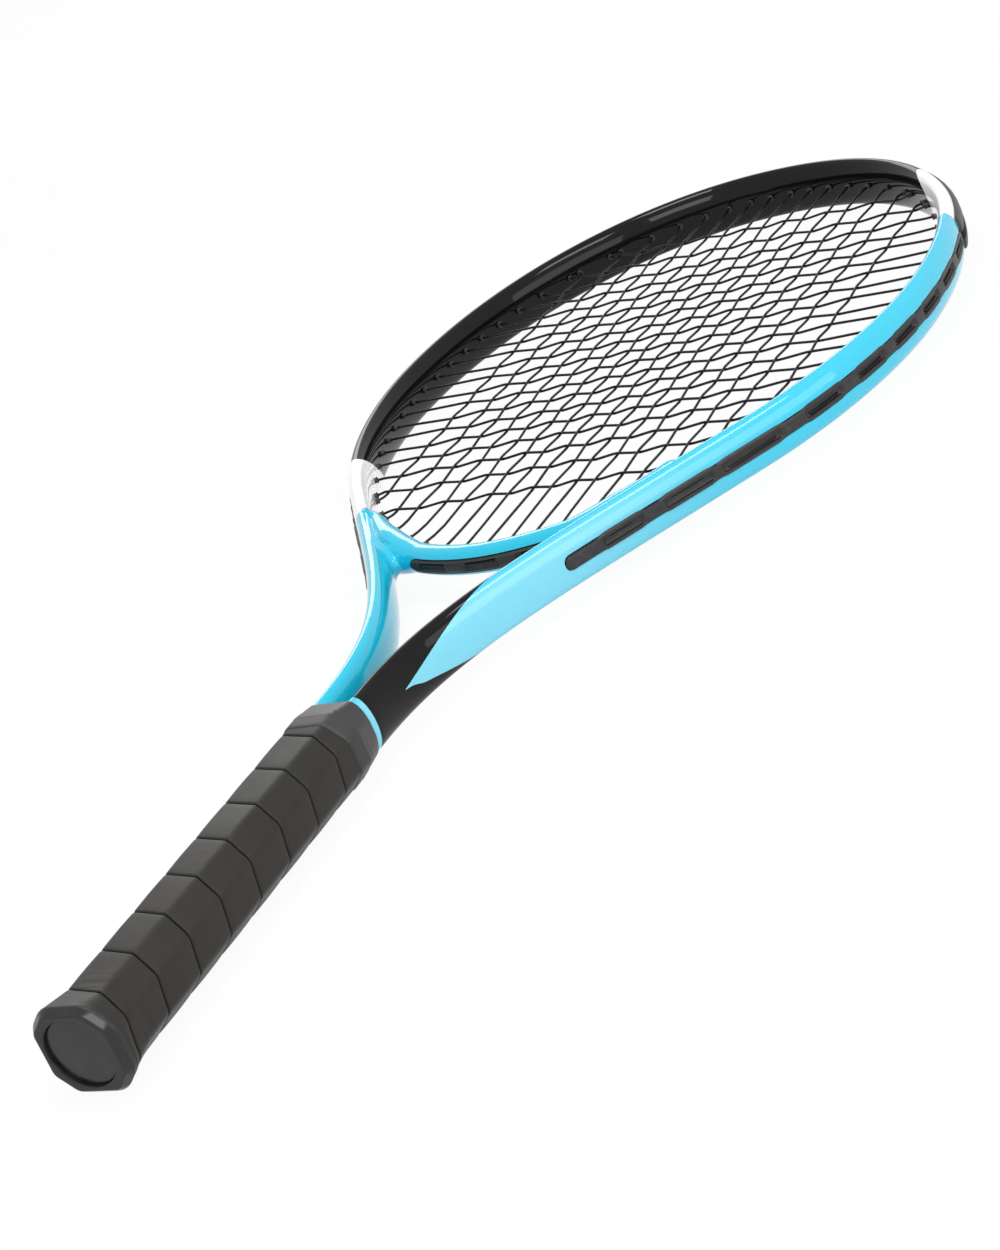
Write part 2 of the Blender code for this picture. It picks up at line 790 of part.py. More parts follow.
def make_grip(material):
    """One band wound over the cap's flare and up the pallet, cut level where it starts and where it ends."""
    outer = handle_outline(CLEARANCE + GRIP_THICKNESS, GRIP_CORNER_POINTS)
    count = len(outer)
    sides = [math.dist(outer[i], outer[(i + 1) % count]) for i in range(count)]
    shares = np.concatenate([[0], np.cumsum(sides)]) / sum(sides)
    loops = []
    edges = []
    for i in range(count * math.ceil((GRIP_TOP - GRIP_BOTTOM) / GRIP_PITCH + 3)):
        turn = i // count + shares[i % count]
        edge = GRIP_BOTTOM + GRIP_PITCH * (turn - GRIP_PHASE)
        low = max(GRIP_BOTTOM, edge)
        high = min(GRIP_TOP, edge + GRIP_PITCH - GRIP_SEAM)
        if high - low < GRIP_END_WIDTH:
            continue
        middle = (low + high) / 2
        corners = [
            (low, GRIP_THICKNESS),
            (low, GRIP_EDGE_BEVEL),
            (low + GRIP_EDGE_BEVEL, 0),
            (middle, 0),
            (high - GRIP_EDGE_BEVEL, 0),
            (high, GRIP_EDGE_BEVEL),
            (high, GRIP_THICKNESS),
            (middle, GRIP_THICKNESS),
        ]
        loop = []
        for y, depth in corners:
            x, z = flared_outline(y, depth, GRIP_CORNER_POINTS)[i % count]
            loop.append(Vector((x, y, z)))
        loops.append(loop)
        edges.append((low, high))
    gaps = [edges[i + count][0] - edges[i][1] for i in range(len(edges) - count)]
    print(f"grip_tape: {len(loops) / count:.1f} turns, least gap to itself {min(gaps) * 1000:.2f} mm")
    return loft("grip_tape", loops, material)


def shaft_outline(y, offset, per_corner=ROUND_CORNER_POINTS):
    """Outline round both shafts at a height, at an offset from their walls, in a handle outline's order."""
    x = LEG_X + (SHAFT_X - LEG_X) * smooth_step((y - TAPER_START) / (SHAFT_START - TAPER_START))
    half_width, half_height = beam_halves(y)
    points = []
    for i in range(8):
        for j in range(per_corner):
            angle = math.radians(45 * i + 22.5 + SHAFT_CORNER_TURN * (j / (per_corner - 1) - 0.5))
            across, up = math.cos(angle), math.sin(angle)
            reach = math.hypot(half_width * across, half_height * up)
            points.append(
                (
                    math.copysign(x, across) + across * (half_width**2 / reach + offset),
                    up * (half_height**2 / reach + offset),
                )
            )
    return points


def make_finishing_tape(material):
    """Sleeve over the grip's end: ridged where its edges lie on each other, then drawn in to the shafts."""
    over_grip = GRIP_THICKNESS + 2 * CLEARANCE
    over_shafts = 2 * CLEARANCE
    shoulder = GRIP_TOP + CLEARANCE
    loops = [
        at_height(handle_outline(over_grip), TAPE_BOTTOM),
        at_height(handle_outline(over_grip), shoulder),
        at_height(shaft_outline(TAPE_TOP, over_shafts), TAPE_TOP),
        at_height(shaft_outline(TAPE_TOP, over_shafts + TAPE_THICKNESS), TAPE_TOP),
        at_height(handle_outline(over_grip + TAPE_THICKNESS), shoulder),
    ]
    outside = []
    for i in (2, 1):
        ridge = TAPE_BOTTOM + i * TAPE_RIDGE_PITCH
        outside.append((ridge, over_grip + TAPE_THICKNESS - (2 - i) * TAPE_RIDGE))
        outside.append((ridge - TAPE_RIDGE, over_grip + TAPE_THICKNESS - (3 - i) * TAPE_RIDGE / 2))
    outside.append((TAPE_BOTTOM, over_grip + TAPE_THICKNESS - TAPE_RIDGE))
    loops += [at_height(handle_outline(offset), y) for y, offset in outside]
    bm = bmesh.new()
    rings = [[bm.verts.new(p) for p in loop] for loop in loops]
    count = len(rings[0])
    for first, second in zip(rings, rings[1:] + rings[:1]):
        for i in range(count):
            j = (i + 1) % count
            bm.faces.new((first[i], first[j], second[j], second[i]))
    return object_from("finishing_tape", bm, material)


def circle(diameter, count, turn):
    angles = [math.tau * i / count + turn for i in range(count)]
    return [(diameter / 2 * math.cos(a), diameter / 2 * math.sin(a)) for a in angles]


def make_butt_cap(material):
    """Cap: a rim that takes the badge, a flare under the grip and a thin sleeve in the pallet's rebate."""
    sleeve_in = handle_outline(CLEARANCE - PALLET_REBATE)
    under_grip = GRIP_THICKNESS + CLEARANCE
    rim_top = GRIP_BOTTOM - CLEARANCE
    recess = circle(BADGE_DIAMETER + 2 * BADGE_RING_GAP, len(sleeve_in), math.radians(7.5))
    loops = [
        at_height(sleeve_in, PALLET_BOTTOM - CLEARANCE),
        at_height(sleeve_in, SLEEVE_TOP),
    ]
    for y in (SLEEVE_TOP, BUTT_FLARE_TOP):
        loops.append(at_height(flared_outline(y, under_grip), y))
    for y in np.linspace(BUTT_FLARE_TOP, rim_top, 4)[1:]:
        loops.append(at_height(flared_outline(y, under_grip + CLEARANCE), y))
    loops.append(at_height(flared_outline(rim_top, 0), rim_top))
    for degrees in (0, 30, 60, 90):
        angle = math.radians(degrees)
        shrink = BUTT_EDGE_RADIUS * (1 - math.cos(angle))
        loops.append(at_height(butt_outline(shrink), BUTT_WIDEST_Y * (1 - math.sin(angle))))
    loops += [
        at_height(recess, 0),
        at_height(recess, BADGE_RECESS + BADGE_THICKNESS + CLEARANCE),
    ]
    cap = loft("butt_cap", loops, material)
    boolean(cap, staple_clearance, "DIFFERENCE")
    return cap


def make_badge(material):
    count = len(handle_outline(0))
    rim = circle(BADGE_DIAMETER, count, math.radians(7.5))
    back = BADGE_RECESS + BADGE_THICKNESS
    return loft("butt_cap_badge", [at_height(rim, BADGE_RECESS), at_height(rim, back)], material)


def add_staple(bm, sign, grow):
    """Staple with its crown let into the sleeve and its two legs in the pallet's web."""
    top = PALLET_HEIGHT / 2 + 2 * grow
    half_crown = STAPLE_CROWN / 2 + grow
    crown_low = PALLET_HEIGHT / 2 - STAPLE_WIRE - grow
    leg_low = PALLET_HEIGHT / 2 - STAPLE_LEG - grow
    inner = STAPLE_CROWN / 2 - STAPLE_WIRE - grow
    outline = [
        (-half_crown, top),
        (-half_crown, leg_low),
        (-inner, leg_low),
        (-inner, crown_low),
        (inner, crown_low),
        (inner, leg_low),
        (half_crown, leg_low),
        (half_crown, top),
    ]
    breadth = STAPLE_BREADTH / 2 + grow
    loops = [[Vector((x, STAPLE_Y + y, sign * z)) for x, z in outline] for y in (-breadth, breadth)]
    add_loft(bm, loops)


def make_staple(name, sign, material):
    bm = bmesh.new()
    add_staple(bm, sign, 0)
    return object_from(name, bm, material)


clear_scene()
racket = bpy.data.objects.new("racket", None)
racket.location = (0, -LENGTH / 2, BUTT_HEIGHT / 2)
bpy.context.scene.collection.objects.link(racket)

blue = paint("blue lacquer", (0.01, 0.52, 0.83), 0.25, coat=0.6)
black_rubber = paint("black rubber", (0.03, 0.03, 0.03), 0.55)
black_nylon = paint("black nylon", (0.012, 0.012, 0.013), 0.4)
string_black = paint("black string", (0.01, 0.01, 0.01), 0.35)
grip_black = paint("black grip", (0.045, 0.043, 0.04), 0.6)
tape_black = paint("black tape", (0.04, 0.04, 0.04), 0.5)
foam = paint("handle foam", (0.35, 0.33, 0.3), 0.9)
steel = paint("staple steel", (0.6, 0.6, 0.62), 0.35, metallic=1.0)

# The right half's line, its string holes and where the groove and the head guard start on it.
half = RightHalf()
throat_reach = main_places()[THROAT_MAINS_PER_SIDE - 1] + THROAT_STRIP_RUN_OUT
throat_end = solve_angle(lambda angle: head_wall(angle)[0][0], -math.pi / 2, 0, throat_reach)
throat_half_angle = throat_end + math.pi / 2
upper_right, lower_right, cross_right = right_holes()
throat_right = lower_right[:THROAT_MAINS_PER_SIDE]
side_right = lower_right[THROAT_MAINS_PER_SIDE:] + cross_right[: BUMPER_LOWEST_CROSS - 1]
tip_right = upper_right + cross_right[BUMPER_LOWEST_CROSS - 1 :]
groove_start = min(hole.length for hole in side_right) - GROOVE_RUN_OUT
last_below, first_above = cross_right[BUMPER_LOWEST_CROSS - 2 : BUMPER_LOWEST_CROSS]
bumper_start = (last_below.length + first_above.length) / 2
throat_end_gap = 2 * STRIP_END_GAP / HEAD_HALF_WIDTH


def both(holes):
    return [hole.mirror() for hole in holes] + list(holes)


all_holes = both(upper_right + lower_right + cross_right)
hole_cutter = prisms("string holes", all_holes, -BARREL_STAND, GROOVE_DEPTH / 2, HOLE_DIAMETER, HOLE_SIDES)
frame_clearance = as_cutter(loft("frame clearance", frame_loops(CLEARANCE, 0)))
staple_mesh = bmesh.new()
for side in (1, -1):
    add_staple(staple_mesh, side, CLEARANCE)
staple_clearance = as_cutter(object_from("staple clearance", staple_mesh))

make_frame(blue)
make_bridge(blue)
make_side_strip("side_grommet_strip_right", 1, side_right, black_nylon)
make_side_strip("side_grommet_strip_left", -1, [hole.mirror() for hole in side_right], black_nylon)
make_bumper(both(tip_right), black_nylon)
make_throat_strip(both(throat_right), black_nylon)

main_x = main_places()
upper_all = [hole.mirror() for hole in reversed(upper_right)] + upper_right
lower_all = [hole.mirror() for hole in reversed(lower_right)] + lower_right
main_line = main_path(upper_all, lower_all)
main_ends = [(low.bend[1], high.bend[1]) for low, high in zip(lower_all, upper_all)]
mains_across = [-x for x in reversed(main_x)] + main_x
cross_line = cross_path([hole.mirror() for hole in cross_right], cross_right, mains_across, main_ends)
sweep_string("main_string", main_line, string_black)
sweep_string("cross_string", cross_line, string_black)
for name, line in (("main_string", main_line), ("cross_string", cross_line)):
    print(f"{name}: least gap to itself {least_gap(line, 6 * STRING_DIAMETER) * 1000:.2f} mm")

make_pallet("pallet_front", 1, foam)
make_pallet("pallet_back", -1, foam)
make_grip(grip_black)
make_finishing_tape(tape_black)
make_butt_cap(black_rubber)
make_badge(black_rubber)
make_staple("butt_staple_front", 1, steel)
make_staple("butt_staple_back", -1, steel)
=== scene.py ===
# %% [markdown]
# # A strung tennis racket
#
# The racket is one bent tube with a bridge across its throat, nylon strips that line its string holes, two long
# strings, and a handle that is wrapped, taped and capped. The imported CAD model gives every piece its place, and
# this lesson makes the fine surfaces that stand over those pieces: smooth walls, rounded edges and finishes.

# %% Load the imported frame
import math
from dataclasses import dataclass

import bmesh
import bpy
import numpy as np
from mathutils import Matrix, Vector


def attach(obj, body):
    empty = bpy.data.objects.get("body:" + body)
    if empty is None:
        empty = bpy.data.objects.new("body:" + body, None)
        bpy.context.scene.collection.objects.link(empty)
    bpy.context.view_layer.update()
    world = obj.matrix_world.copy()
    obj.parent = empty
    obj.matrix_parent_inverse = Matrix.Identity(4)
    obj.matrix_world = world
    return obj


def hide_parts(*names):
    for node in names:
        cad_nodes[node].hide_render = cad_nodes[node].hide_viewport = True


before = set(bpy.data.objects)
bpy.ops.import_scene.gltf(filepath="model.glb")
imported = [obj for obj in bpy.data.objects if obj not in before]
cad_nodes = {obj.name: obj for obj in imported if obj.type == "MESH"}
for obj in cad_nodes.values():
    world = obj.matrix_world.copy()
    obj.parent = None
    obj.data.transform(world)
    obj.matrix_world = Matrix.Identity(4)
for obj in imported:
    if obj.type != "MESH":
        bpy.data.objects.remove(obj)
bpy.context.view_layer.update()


def add_object(name, data):
    """A new object in the scene."""
    made = bpy.data.objects.new(name, data)
    bpy.context.scene.collection.objects.link(made)
    return made


# %% [markdown]
# ## Camera
#
# The camera comes first, because every later step is judged through it. Its place and its three directions come
# from lining up the head's oval, the shafts and the grip's turns with the picture. The frame is 1000 by 1250, so
# the lens is given for the tall side.

# %% Set the camera
PICTURE_HEIGHT = 1250
SENSOR_HEIGHT = 36
CLIP_END = 20
FOCAL_PIXELS = 3094.1
CAMERA_PLACE = (0.68997, -0.97622, 0.48984)
CAMERA_RIGHT = (0.83301, 0.41295, -0.36819)
CAMERA_UP = (0.11197, 0.52589, 0.84315)
CAMERA_BACK = (0.54181, -0.74358, 0.39183)

camera_data = bpy.data.cameras.new("camera")
camera_data.sensor_fit = "VERTICAL"
camera_data.sensor_height = SENSOR_HEIGHT
camera_data.lens = FOCAL_PIXELS * SENSOR_HEIGHT / PICTURE_HEIGHT
camera_data.clip_end = CLIP_END
camera = add_object("camera", camera_data)
turned = Matrix((CAMERA_RIGHT, CAMERA_UP, CAMERA_BACK)).transposed().to_4x4()
camera.matrix_world = Matrix.Translation(CAMERA_PLACE) @ turned
bpy.context.scene.camera = camera
bpy.context.scene.view_settings.view_transform = "Standard"
print("lens", round(camera_data.lens, 2), "mm")

# %% [markdown]
# ## Shader sums in plain Python
#
# A finish is a sum over a surface: where the paint changes, how the wear lies, how deep the grain goes. Written
# with nodes alone such sums are long, so one small class wraps an output and lets Python's operators add the
# Math nodes. Every other kind of node comes from its `node` method.

# %% A class for sums in a material
EDGE_BLUR = 0.00015


class Tone:
    """An output in a material's tree, which takes part in sums."""

    def __init__(self, tree, socket=None):
        self.tree = tree
        self.socket = socket

    def node(self, kind, settings=None, sockets=None, out=0):
        """Adds a node, sets it up first, then gives its sockets values or links, and returns one output."""
        made = self.tree.nodes.new("ShaderNode" + kind)
        for name, value in (settings or {}).items():
            setattr(made, name, value)
        for name, value in (sockets or {}).items():
            if isinstance(value, Tone):
                self.tree.links.new(value.socket, made.inputs[name])
            else:
                made.inputs[name].default_value = value
        return Tone(self.tree, made.outputs[out])

    def sum(self, operation, *values):
        return self.node("Math", {"operation": operation}, dict(enumerate(values)))

    def __add__(self, other):
        return self.sum("ADD", self, other)

    def __sub__(self, other):
        return self.sum("SUBTRACT", self, other)

    def __rsub__(self, other):
        return self.sum("SUBTRACT", other, self)

    def __mul__(self, other):
        return self.sum("MULTIPLY", self, other)

    def __pow__(self, other):
        return self.sum("POWER", self, other)

    __radd__ = __add__
    __rmul__ = __mul__

    def over(self, edge, blur=EDGE_BLUR):
        """1 where this value is more than an edge, 0 where it is less, with a soft step between."""
        settings = {"interpolation_type": "SMOOTHSTEP"}
        return self.node("MapRange", settings, {0: self - edge, 1: -blur, 2: blur, 3: 0.0, 4: 1.0})

    def attribute(self, name):
        return self.node("Attribute", {"attribute_name": name}, out="Fac")

    def part(self, axis):
        """One coordinate of a place: 0, 1 or 2 for x, y or z."""
        return self.node("SeparateXYZ", None, {0: self}, axis)

    def noise(self, place, scale, detail=2.0):
        return self.node("TexNoise", None, {"Vector": place, "Scale": scale, "Detail": detail}, "Fac")

    def mix(self, share, first, second):
        """A colour between two colours."""
        return self.node("Mix", {"data_type": "RGBA"}, {0: share, 6: first, 7: second}, 2)

    def spread(self, low, high):
        """This value, from 0 to 1, laid out between two others."""
        return self * (high - low) + low


def grey(value):
    return (value, value, value, 1.0)


print("shader sums ready")

# %% [markdown]
# ## Starting a finish
#
# Each finish is one Principled shader. What is the same all over goes straight on the shader's sockets, and what
# changes over the surface is linked. The bump goes through one Bump node, in metres.


# %% Helper that makes a finish
def new_finish(name, **same):
    """A new material: returns it, its shader, a Tone to start sums from, and the Object coordinates."""
    material = bpy.data.materials.new(name)
    material.use_nodes = True
    shader = material.node_tree.nodes["Principled BSDF"]
    for socket, value in same.items():
        shader.inputs[socket.replace("_", " ")].default_value = value
    start = Tone(material.node_tree)
    return material, shader, start, start.node("TexCoord", out="Object")


def connect(shader, **changing):
    for socket, tone in changing.items():
        tone.tree.links.new(tone.socket, shader.inputs[socket.replace("_", " ")])


def bump(height, depth):
    return height.node("Bump", None, {"Height": height, "Distance": depth, "Strength": 1.0})


print("finish helpers ready")

# %% [markdown]
# ## Sizes
#
# The racket is laid out in its own plan: x across the head, y from the butt to the tip, z out of the string plane.
# These are the CAD model's sizes, in metres, and one helper later moves every mesh to the frame's place.

# %% The racket's sizes
LENGTH = 0.688
BUTT_HEIGHT = 0.0356
PLAN_TO_FRAME = np.array([0, -LENGTH / 2, BUTT_HEIGHT / 2])
CLEARANCE = 0.0003
HEAD_HALF_WIDTH = 0.1295
HEAD_UPPER_REACH = 0.1662
HEAD_LOWER_REACH = 0.1765
HEAD_UPPER_SQUARENESS = 2.08
HEAD_LOWER_SQUARENESS = 1.86
BEAM_WIDTH = 0.0105
BEAM_HEIGHT = 0.024
LEG_WIDTH = 0.008
LEG_HEIGHT = 0.017
LEG_X = 0.0068
LEG_BOTTOM = 0.011
SHAFT_X = 0.0086
SHAFT_START = 0.202
TAPER_START = 0.186
TAPER_END = 0.196
JOIN_ANGLE = math.radians(-41.4)
JOIN_PULL = 0.536
SHAFT_PULL = 0.342
BUMPER_STAND = 0.0015
HEAD_WIDEST_Y = LENGTH - BUMPER_STAND - BEAM_WIDTH - HEAD_UPPER_REACH
HALF_BEAM = BEAM_WIDTH / 2
QUARTER = math.pi / 2
print("head", round(2000 * (HEAD_HALF_WIDTH + BEAM_WIDTH), 1), "mm wide outside")

# %% [markdown]
# ## The line of the tube
#
# The tube runs from the handle up a shaft, round the head and down the other shaft. The head's inner wall is made
# of two half superellipses, which are ellipses with a little more or less shoulder, and each shaft is a Bezier
# curve that leaves the head along its tangent. One half is worked out as a dense row of points, and the other
# half is its mirror image.


# %% Small sums for curves
def unit(vectors):
    return vectors / np.maximum(np.linalg.norm(vectors, axis=-1, keepdims=True), 1e-12)


def lengths_along(path):
    """Length of a row of points up to each of them."""
    return np.concatenate([[0], np.cumsum(np.linalg.norm(np.diff(path, axis=0), axis=1))])


def smooth_step(value):
    value = np.clip(value, 0, 1)
    return value * value * (3 - 2 * value)


def bezier(shares, start, start_pull, end_pull, end):
    """Points of a cubic curve at shares of its way."""
    t = np.asarray(shares)[:, None]
    rest = 1 - t
    return rest**3 * start + 3 * t * rest**2 * start_pull + 3 * t**2 * rest * end_pull + t**3 * end


print("curve helpers ready")

# %% Work out the right half's line
LEG_POINTS = 60
TAPER_POINTS = 16
SHAFT_POINTS = 401
HEAD_POINTS = 701


def head_wall(angle):
    """Points of the head's inner wall at angles from +x, and the wall's outward normals, in plan."""
    across, along = np.cos(angle), np.sin(angle)
    power = np.where(along >= 0, HEAD_UPPER_SQUARENESS, HEAD_LOWER_SQUARENESS)
    reach = np.where(along >= 0, HEAD_UPPER_REACH, HEAD_LOWER_REACH)
    u = np.sign(across) * np.abs(across) ** (2 / power)
    v = np.sign(along) * np.abs(along) ** (2 / power)
    point = np.stack([HEAD_HALF_WIDTH * u, HEAD_WIDEST_Y + reach * v], -1)
    slope_x = np.sign(u) * np.abs(u) ** (power - 1) / HEAD_HALF_WIDTH
    slope_y = np.sign(v) * np.abs(v) ** (power - 1) / reach
    return point, unit(np.stack([slope_x, slope_y], -1))


def leg_x(y):
    """The tube's middle inside the handle at a height: it moves out to the shaft's place at the top."""
    return LEG_X + (SHAFT_X - LEG_X) * smooth_step((y - TAPER_START) / (SHAFT_START - TAPER_START))


def shaft_curve(shares):
    """Points of the right shaft's centre line, from the handle's top at 0 to the head at 1."""
    wall, normal = head_wall(JOIN_ANGLE)
    join = wall + normal * HALF_BEAM
    start = np.array([SHAFT_X, SHAFT_START])
    span = join[1] - start[1]
    start_pull = start + np.array([0, SHAFT_PULL * span])
    join_pull = join + JOIN_PULL * span * np.array([normal[1], -normal[0]])
    return bezier(shares, start, start_pull, join_pull, join)


def right_line():
    taper_y = np.linspace(TAPER_START, SHAFT_START, TAPER_POINTS)[1:-1]
    leg_y = np.concatenate([np.linspace(LEG_BOTTOM, TAPER_START, LEG_POINTS), taper_y])
    leg = np.stack([leg_x(leg_y), leg_y], 1)
    shaft = shaft_curve(np.linspace(0, 1, SHAFT_POINTS)[:-1])
    wall, normal = head_wall(np.linspace(JOIN_ANGLE, QUARTER, HEAD_POINTS))
    return np.concatenate([leg, shaft, wall + normal * HALF_BEAM])


LINE = right_line()
RUN = lengths_along(LINE)
way = unit(np.gradient(LINE, axis=0))
OUTWARD = np.stack([way[:, 1], -way[:, 0]], 1)
OUTWARD[-1] = (0, 1)
print("one half of the tube is", round(RUN[-1] * 1000, 1), "mm long")


# %% Read the line by its length
def line_at(run):
    """Plan points and outward normals of the right half, at lengths from the leg's bottom."""
    point = np.stack([np.interp(run, RUN, LINE[:, i]) for i in (0, 1)], -1)
    normal = np.stack([np.interp(run, RUN, OUTWARD[:, i]) for i in (0, 1)], -1)
    return point, unit(normal)


def nearest(points):
    """Index of the line's point that is nearest to each plan point."""
    points = np.atleast_2d(points)
    return np.array([((LINE - p) ** 2).sum(1).argmin() for p in points])


def beam_sizes(y):
    """Half width and half height of the tube at a plan height: slim in the handle, full in the head."""
    grown = smooth_step((y - TAPER_START) / (TAPER_END - TAPER_START))
    half_width = (LEG_WIDTH + (BEAM_WIDTH - LEG_WIDTH) * grown) / 2
    return half_width, (LEG_HEIGHT + (BEAM_HEIGHT - LEG_HEIGHT) * grown) / 2


print("shaft starts at", [round(float(v) * 1000, 1) for v in line_at(SHAFT_START - LEG_BOTTOM)[0]])

# %% [markdown]
# ## From rows of points to a skin
#
# Nearly every piece here is a row of loops, such as sections of a tube, skinned with quads. One helper does that,
# closes the ends, stores values on the points for the finishes to read, and puts the result at its place in the
# frame. The object itself stays at the origin.


# %% Helpers that build a piece
def finished_object(name, mesh, material, sharp=40):
    """Points faces outwards, shades them smoothly, and links the mesh as an object at the origin."""
    bm = bmesh.new()
    bm.from_mesh(mesh)
    bmesh.ops.recalc_face_normals(bm, faces=bm.faces)
    bm.to_mesh(mesh)
    bm.free()
    mesh.materials.clear()
    mesh.materials.append(material)
    mesh.shade_smooth()
    mesh.set_sharp_from_angle(angle=math.radians(sharp))
    return add_object(name, mesh)


def skin_mesh(name, loops, ring=False, **values):
    """Mesh over loops of points, rows by points by xyz in plan, with values stored on its points."""
    loops = np.asarray(loops, float)
    rows, count, _ = loops.shape
    index = np.arange(rows * count).reshape(rows, count)
    first = index if ring else index[:-1]
    second = np.roll(index, -1, 0) if ring else index[1:]
    quads = np.stack([first, np.roll(first, -1, 1), np.roll(second, -1, 1), second], -1).reshape(-1, 4)
    faces = quads.tolist()
    if not ring:
        faces += [index[0][::-1].tolist(), index[-1].tolist()]
    mesh = bpy.data.meshes.new(name)
    mesh.from_pydata((loops.reshape(-1, 3) + PLAN_TO_FRAME).tolist(), [], faces)
    for key, value in values.items():
        layer = mesh.attributes.new(key, "FLOAT", "POINT")
        layer.data.foreach_set("value", np.broadcast_to(value, (rows, count)).astype(np.float32).ravel())
    return mesh


def joined(name, meshes):
    """One mesh from several."""
    bm = bmesh.new()
    for mesh in meshes:
        bm.from_mesh(mesh)
    whole = bpy.data.meshes.new(name)
    bm.to_mesh(whole)
    bm.free()
    return whole


def stand_in(piece, slot, *nodes):
    """The piece rides with the racket and stands for CAD nodes; the slot is not used."""
    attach(piece, "root")
    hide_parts(*nodes)
    print(piece.name, len(piece.data.polygons), "faces, for", ", ".join(nodes))


def plan_section(points, normals, profile):
    """Stands profiles of (outward, up) on plan points: rows by points by xyz."""
    profile = np.broadcast_to(profile, (len(points), *np.shape(profile)[-2:]))
    flat = points[:, None, :] + normals[:, None, :] * profile[:, :, :1]
    return np.concatenate([flat, profile[:, :, 1:]], -1)


def mirrored_loft(points, normals, profiles):
    """Sections up the left half to the tip, and down the right half from there."""
    left = plan_section(points * MIRROR, normals * MIRROR, profiles)
    right = plan_section(points, normals, profiles)
    return np.concatenate([left, right[-2::-1]])


MIRROR = np.array([-1, 1])
print("piece helpers ready")

# %% [markdown]
# ## String pattern
#
# Sixteen mains run up the racket and nineteen crosses weave across them. The outer mains and the end crosses are
# further apart. Each string end goes through a hole in the tube: the holes of the crosses and of the upper mains
# take the shortest way out, the lower mains' holes lean towards the butt, and the six middle mains go through the
# throat bridge.

# %% Sizes of the strings, grommets and bridge
STRING_DIAMETER = 0.0013
MAINS_PER_SIDE = 8
THROAT_MAINS = 3
CROSSES = 19
GROOVE_DEPTH = 0.003
GROOVE_HALF_HEIGHT = 0.0033
GROOVE_RUN_OUT = 0.022
BARREL_STAND = 0.0013
DRILL_LEAN = 0.3
BEND_INSET = 0.0032
BAND_THICKNESS = 0.0009
LOOP_OFFSET = 0.0009
BUMPER_LOWEST_CROSS = 15
THROAT_RUN_OUT = 0.0055
FIRST_MAIN_X = 0.0056
MAIN_GAP = 0.0106
MAIN_GAP_GROWTH = 0.0005
LAST_MAIN_EXTRA = 0.002
FIRST_CROSS_RISE = 0.0497
CROSS_GAP = 0.01278
LOW_CROSS_EXTRA, LOW_CROSS_FALL = 0.0074, 0.5
HIGH_CROSS_EXTRA, HIGH_CROSS_FALL = 0.0055, 0.45
STRING_DEPTH = CLEARANCE + BAND_THICKNESS + CLEARANCE + STRING_DIAMETER / 2
BRIDGE_ANGLES = np.radians([0.8, 4.8, 9, 19])
BRIDGE_HALF_WIDTHS = (0.0066, 0.0084, 0.0088, 0.0042)
BRIDGE_HALF_HEIGHTS = (0.0063, 0.0080, 0.0098, 0.0112)
BRIDGE_SET_BACKS = (0.0024, 0.0012, 0.0004, 0)

main_gaps = MAIN_GAP + MAIN_GAP_GROWTH * np.arange(MAINS_PER_SIDE - 1)
main_x = FIRST_MAIN_X + np.concatenate([[0], np.cumsum(main_gaps)])
main_x[-1] += LAST_MAIN_EXTRA
steps = np.arange(CROSSES - 1)
low_extra = LOW_CROSS_EXTRA * LOW_CROSS_FALL**steps
high_extra = HIGH_CROSS_EXTRA * HIGH_CROSS_FALL ** (CROSSES - 2 - steps)
cross_rises = np.concatenate([[0], np.cumsum(CROSS_GAP + low_extra + high_extra)])
cross_y = HEAD_WIDEST_Y - HEAD_LOWER_REACH + FIRST_CROSS_RISE + cross_rises
print("mains at", np.round(main_x * 1000, 1), "mm")

# %% Drill a hole through the tube
ANGLE_HALVINGS = 26
DEPTH_HALVINGS = 20


@dataclass
class Hole:
    """A string hole in plan: where the string bends inside the head, its axis, and its groove's floor."""

    bend: np.ndarray
    axis: np.ndarray
    floor: float
    run: float
    throat: bool = False

    def at(self, depth, z=0.0):
        """Point on the axis, at a depth outwards from the groove's floor."""
        return np.array([*(self.bend + self.axis * (self.floor + depth)), z])

    def mirror(self):
        return Hole(self.bend * MIRROR, self.axis * MIRROR, self.floor, self.run, self.throat)


def solve(place, low, high, target):
    """Angle at which a coordinate that rises or falls with it has the wanted value."""
    rising = place(high) > place(low)
    for _ in range(ANGLE_HALVINGS):
        middle = (low + high) / 2
        if (place(middle) < target) == rising:
            low = middle
        else:
            high = middle
    return (low + high) / 2


def tube_hole(angle, lean=0.0):
    wall = head_wall(angle)[0]
    axis = LINE[nearest(wall)[0]] - wall
    axis = unit(unit(axis) * (1 - lean) + np.array([0, -lean]))
    low, high = 0.0, 10 * BEAM_WIDTH
    for _ in range(DEPTH_HALVINGS):
        distance = (low + high) / 2
        point = wall + axis * distance
        i = nearest(point)[0]
        if (point - LINE[i]) @ OUTWARD[i] < HALF_BEAM - GROOVE_DEPTH:
            low = distance
        else:
            high = distance
    return Hole(wall - axis * BEND_INSET, axis, BEND_INSET + distance, RUN[i])


def leaning_hole(angle):
    return tube_hole(angle, DRILL_LEAN)


print("a hole at the side is", round(tube_hole(0.0).floor * 1000, 2), "mm deep")

# %% Find where each string meets the tube
throat_reach = main_x[THROAT_MAINS - 1] + THROAT_RUN_OUT
throat_half_angle = solve(lambda a: head_wall(a)[0][0], -QUARTER, 0, throat_reach) + QUARTER


def bridge_sizes(away):
    """Half width, half height and set back of the bridge at angles away from its middle."""
    past = np.abs(away) - throat_half_angle
    tables = (BRIDGE_HALF_WIDTHS, BRIDGE_HALF_HEIGHTS, BRIDGE_SET_BACKS)
    return [np.interp(past, BRIDGE_ANGLES, table) for table in tables]


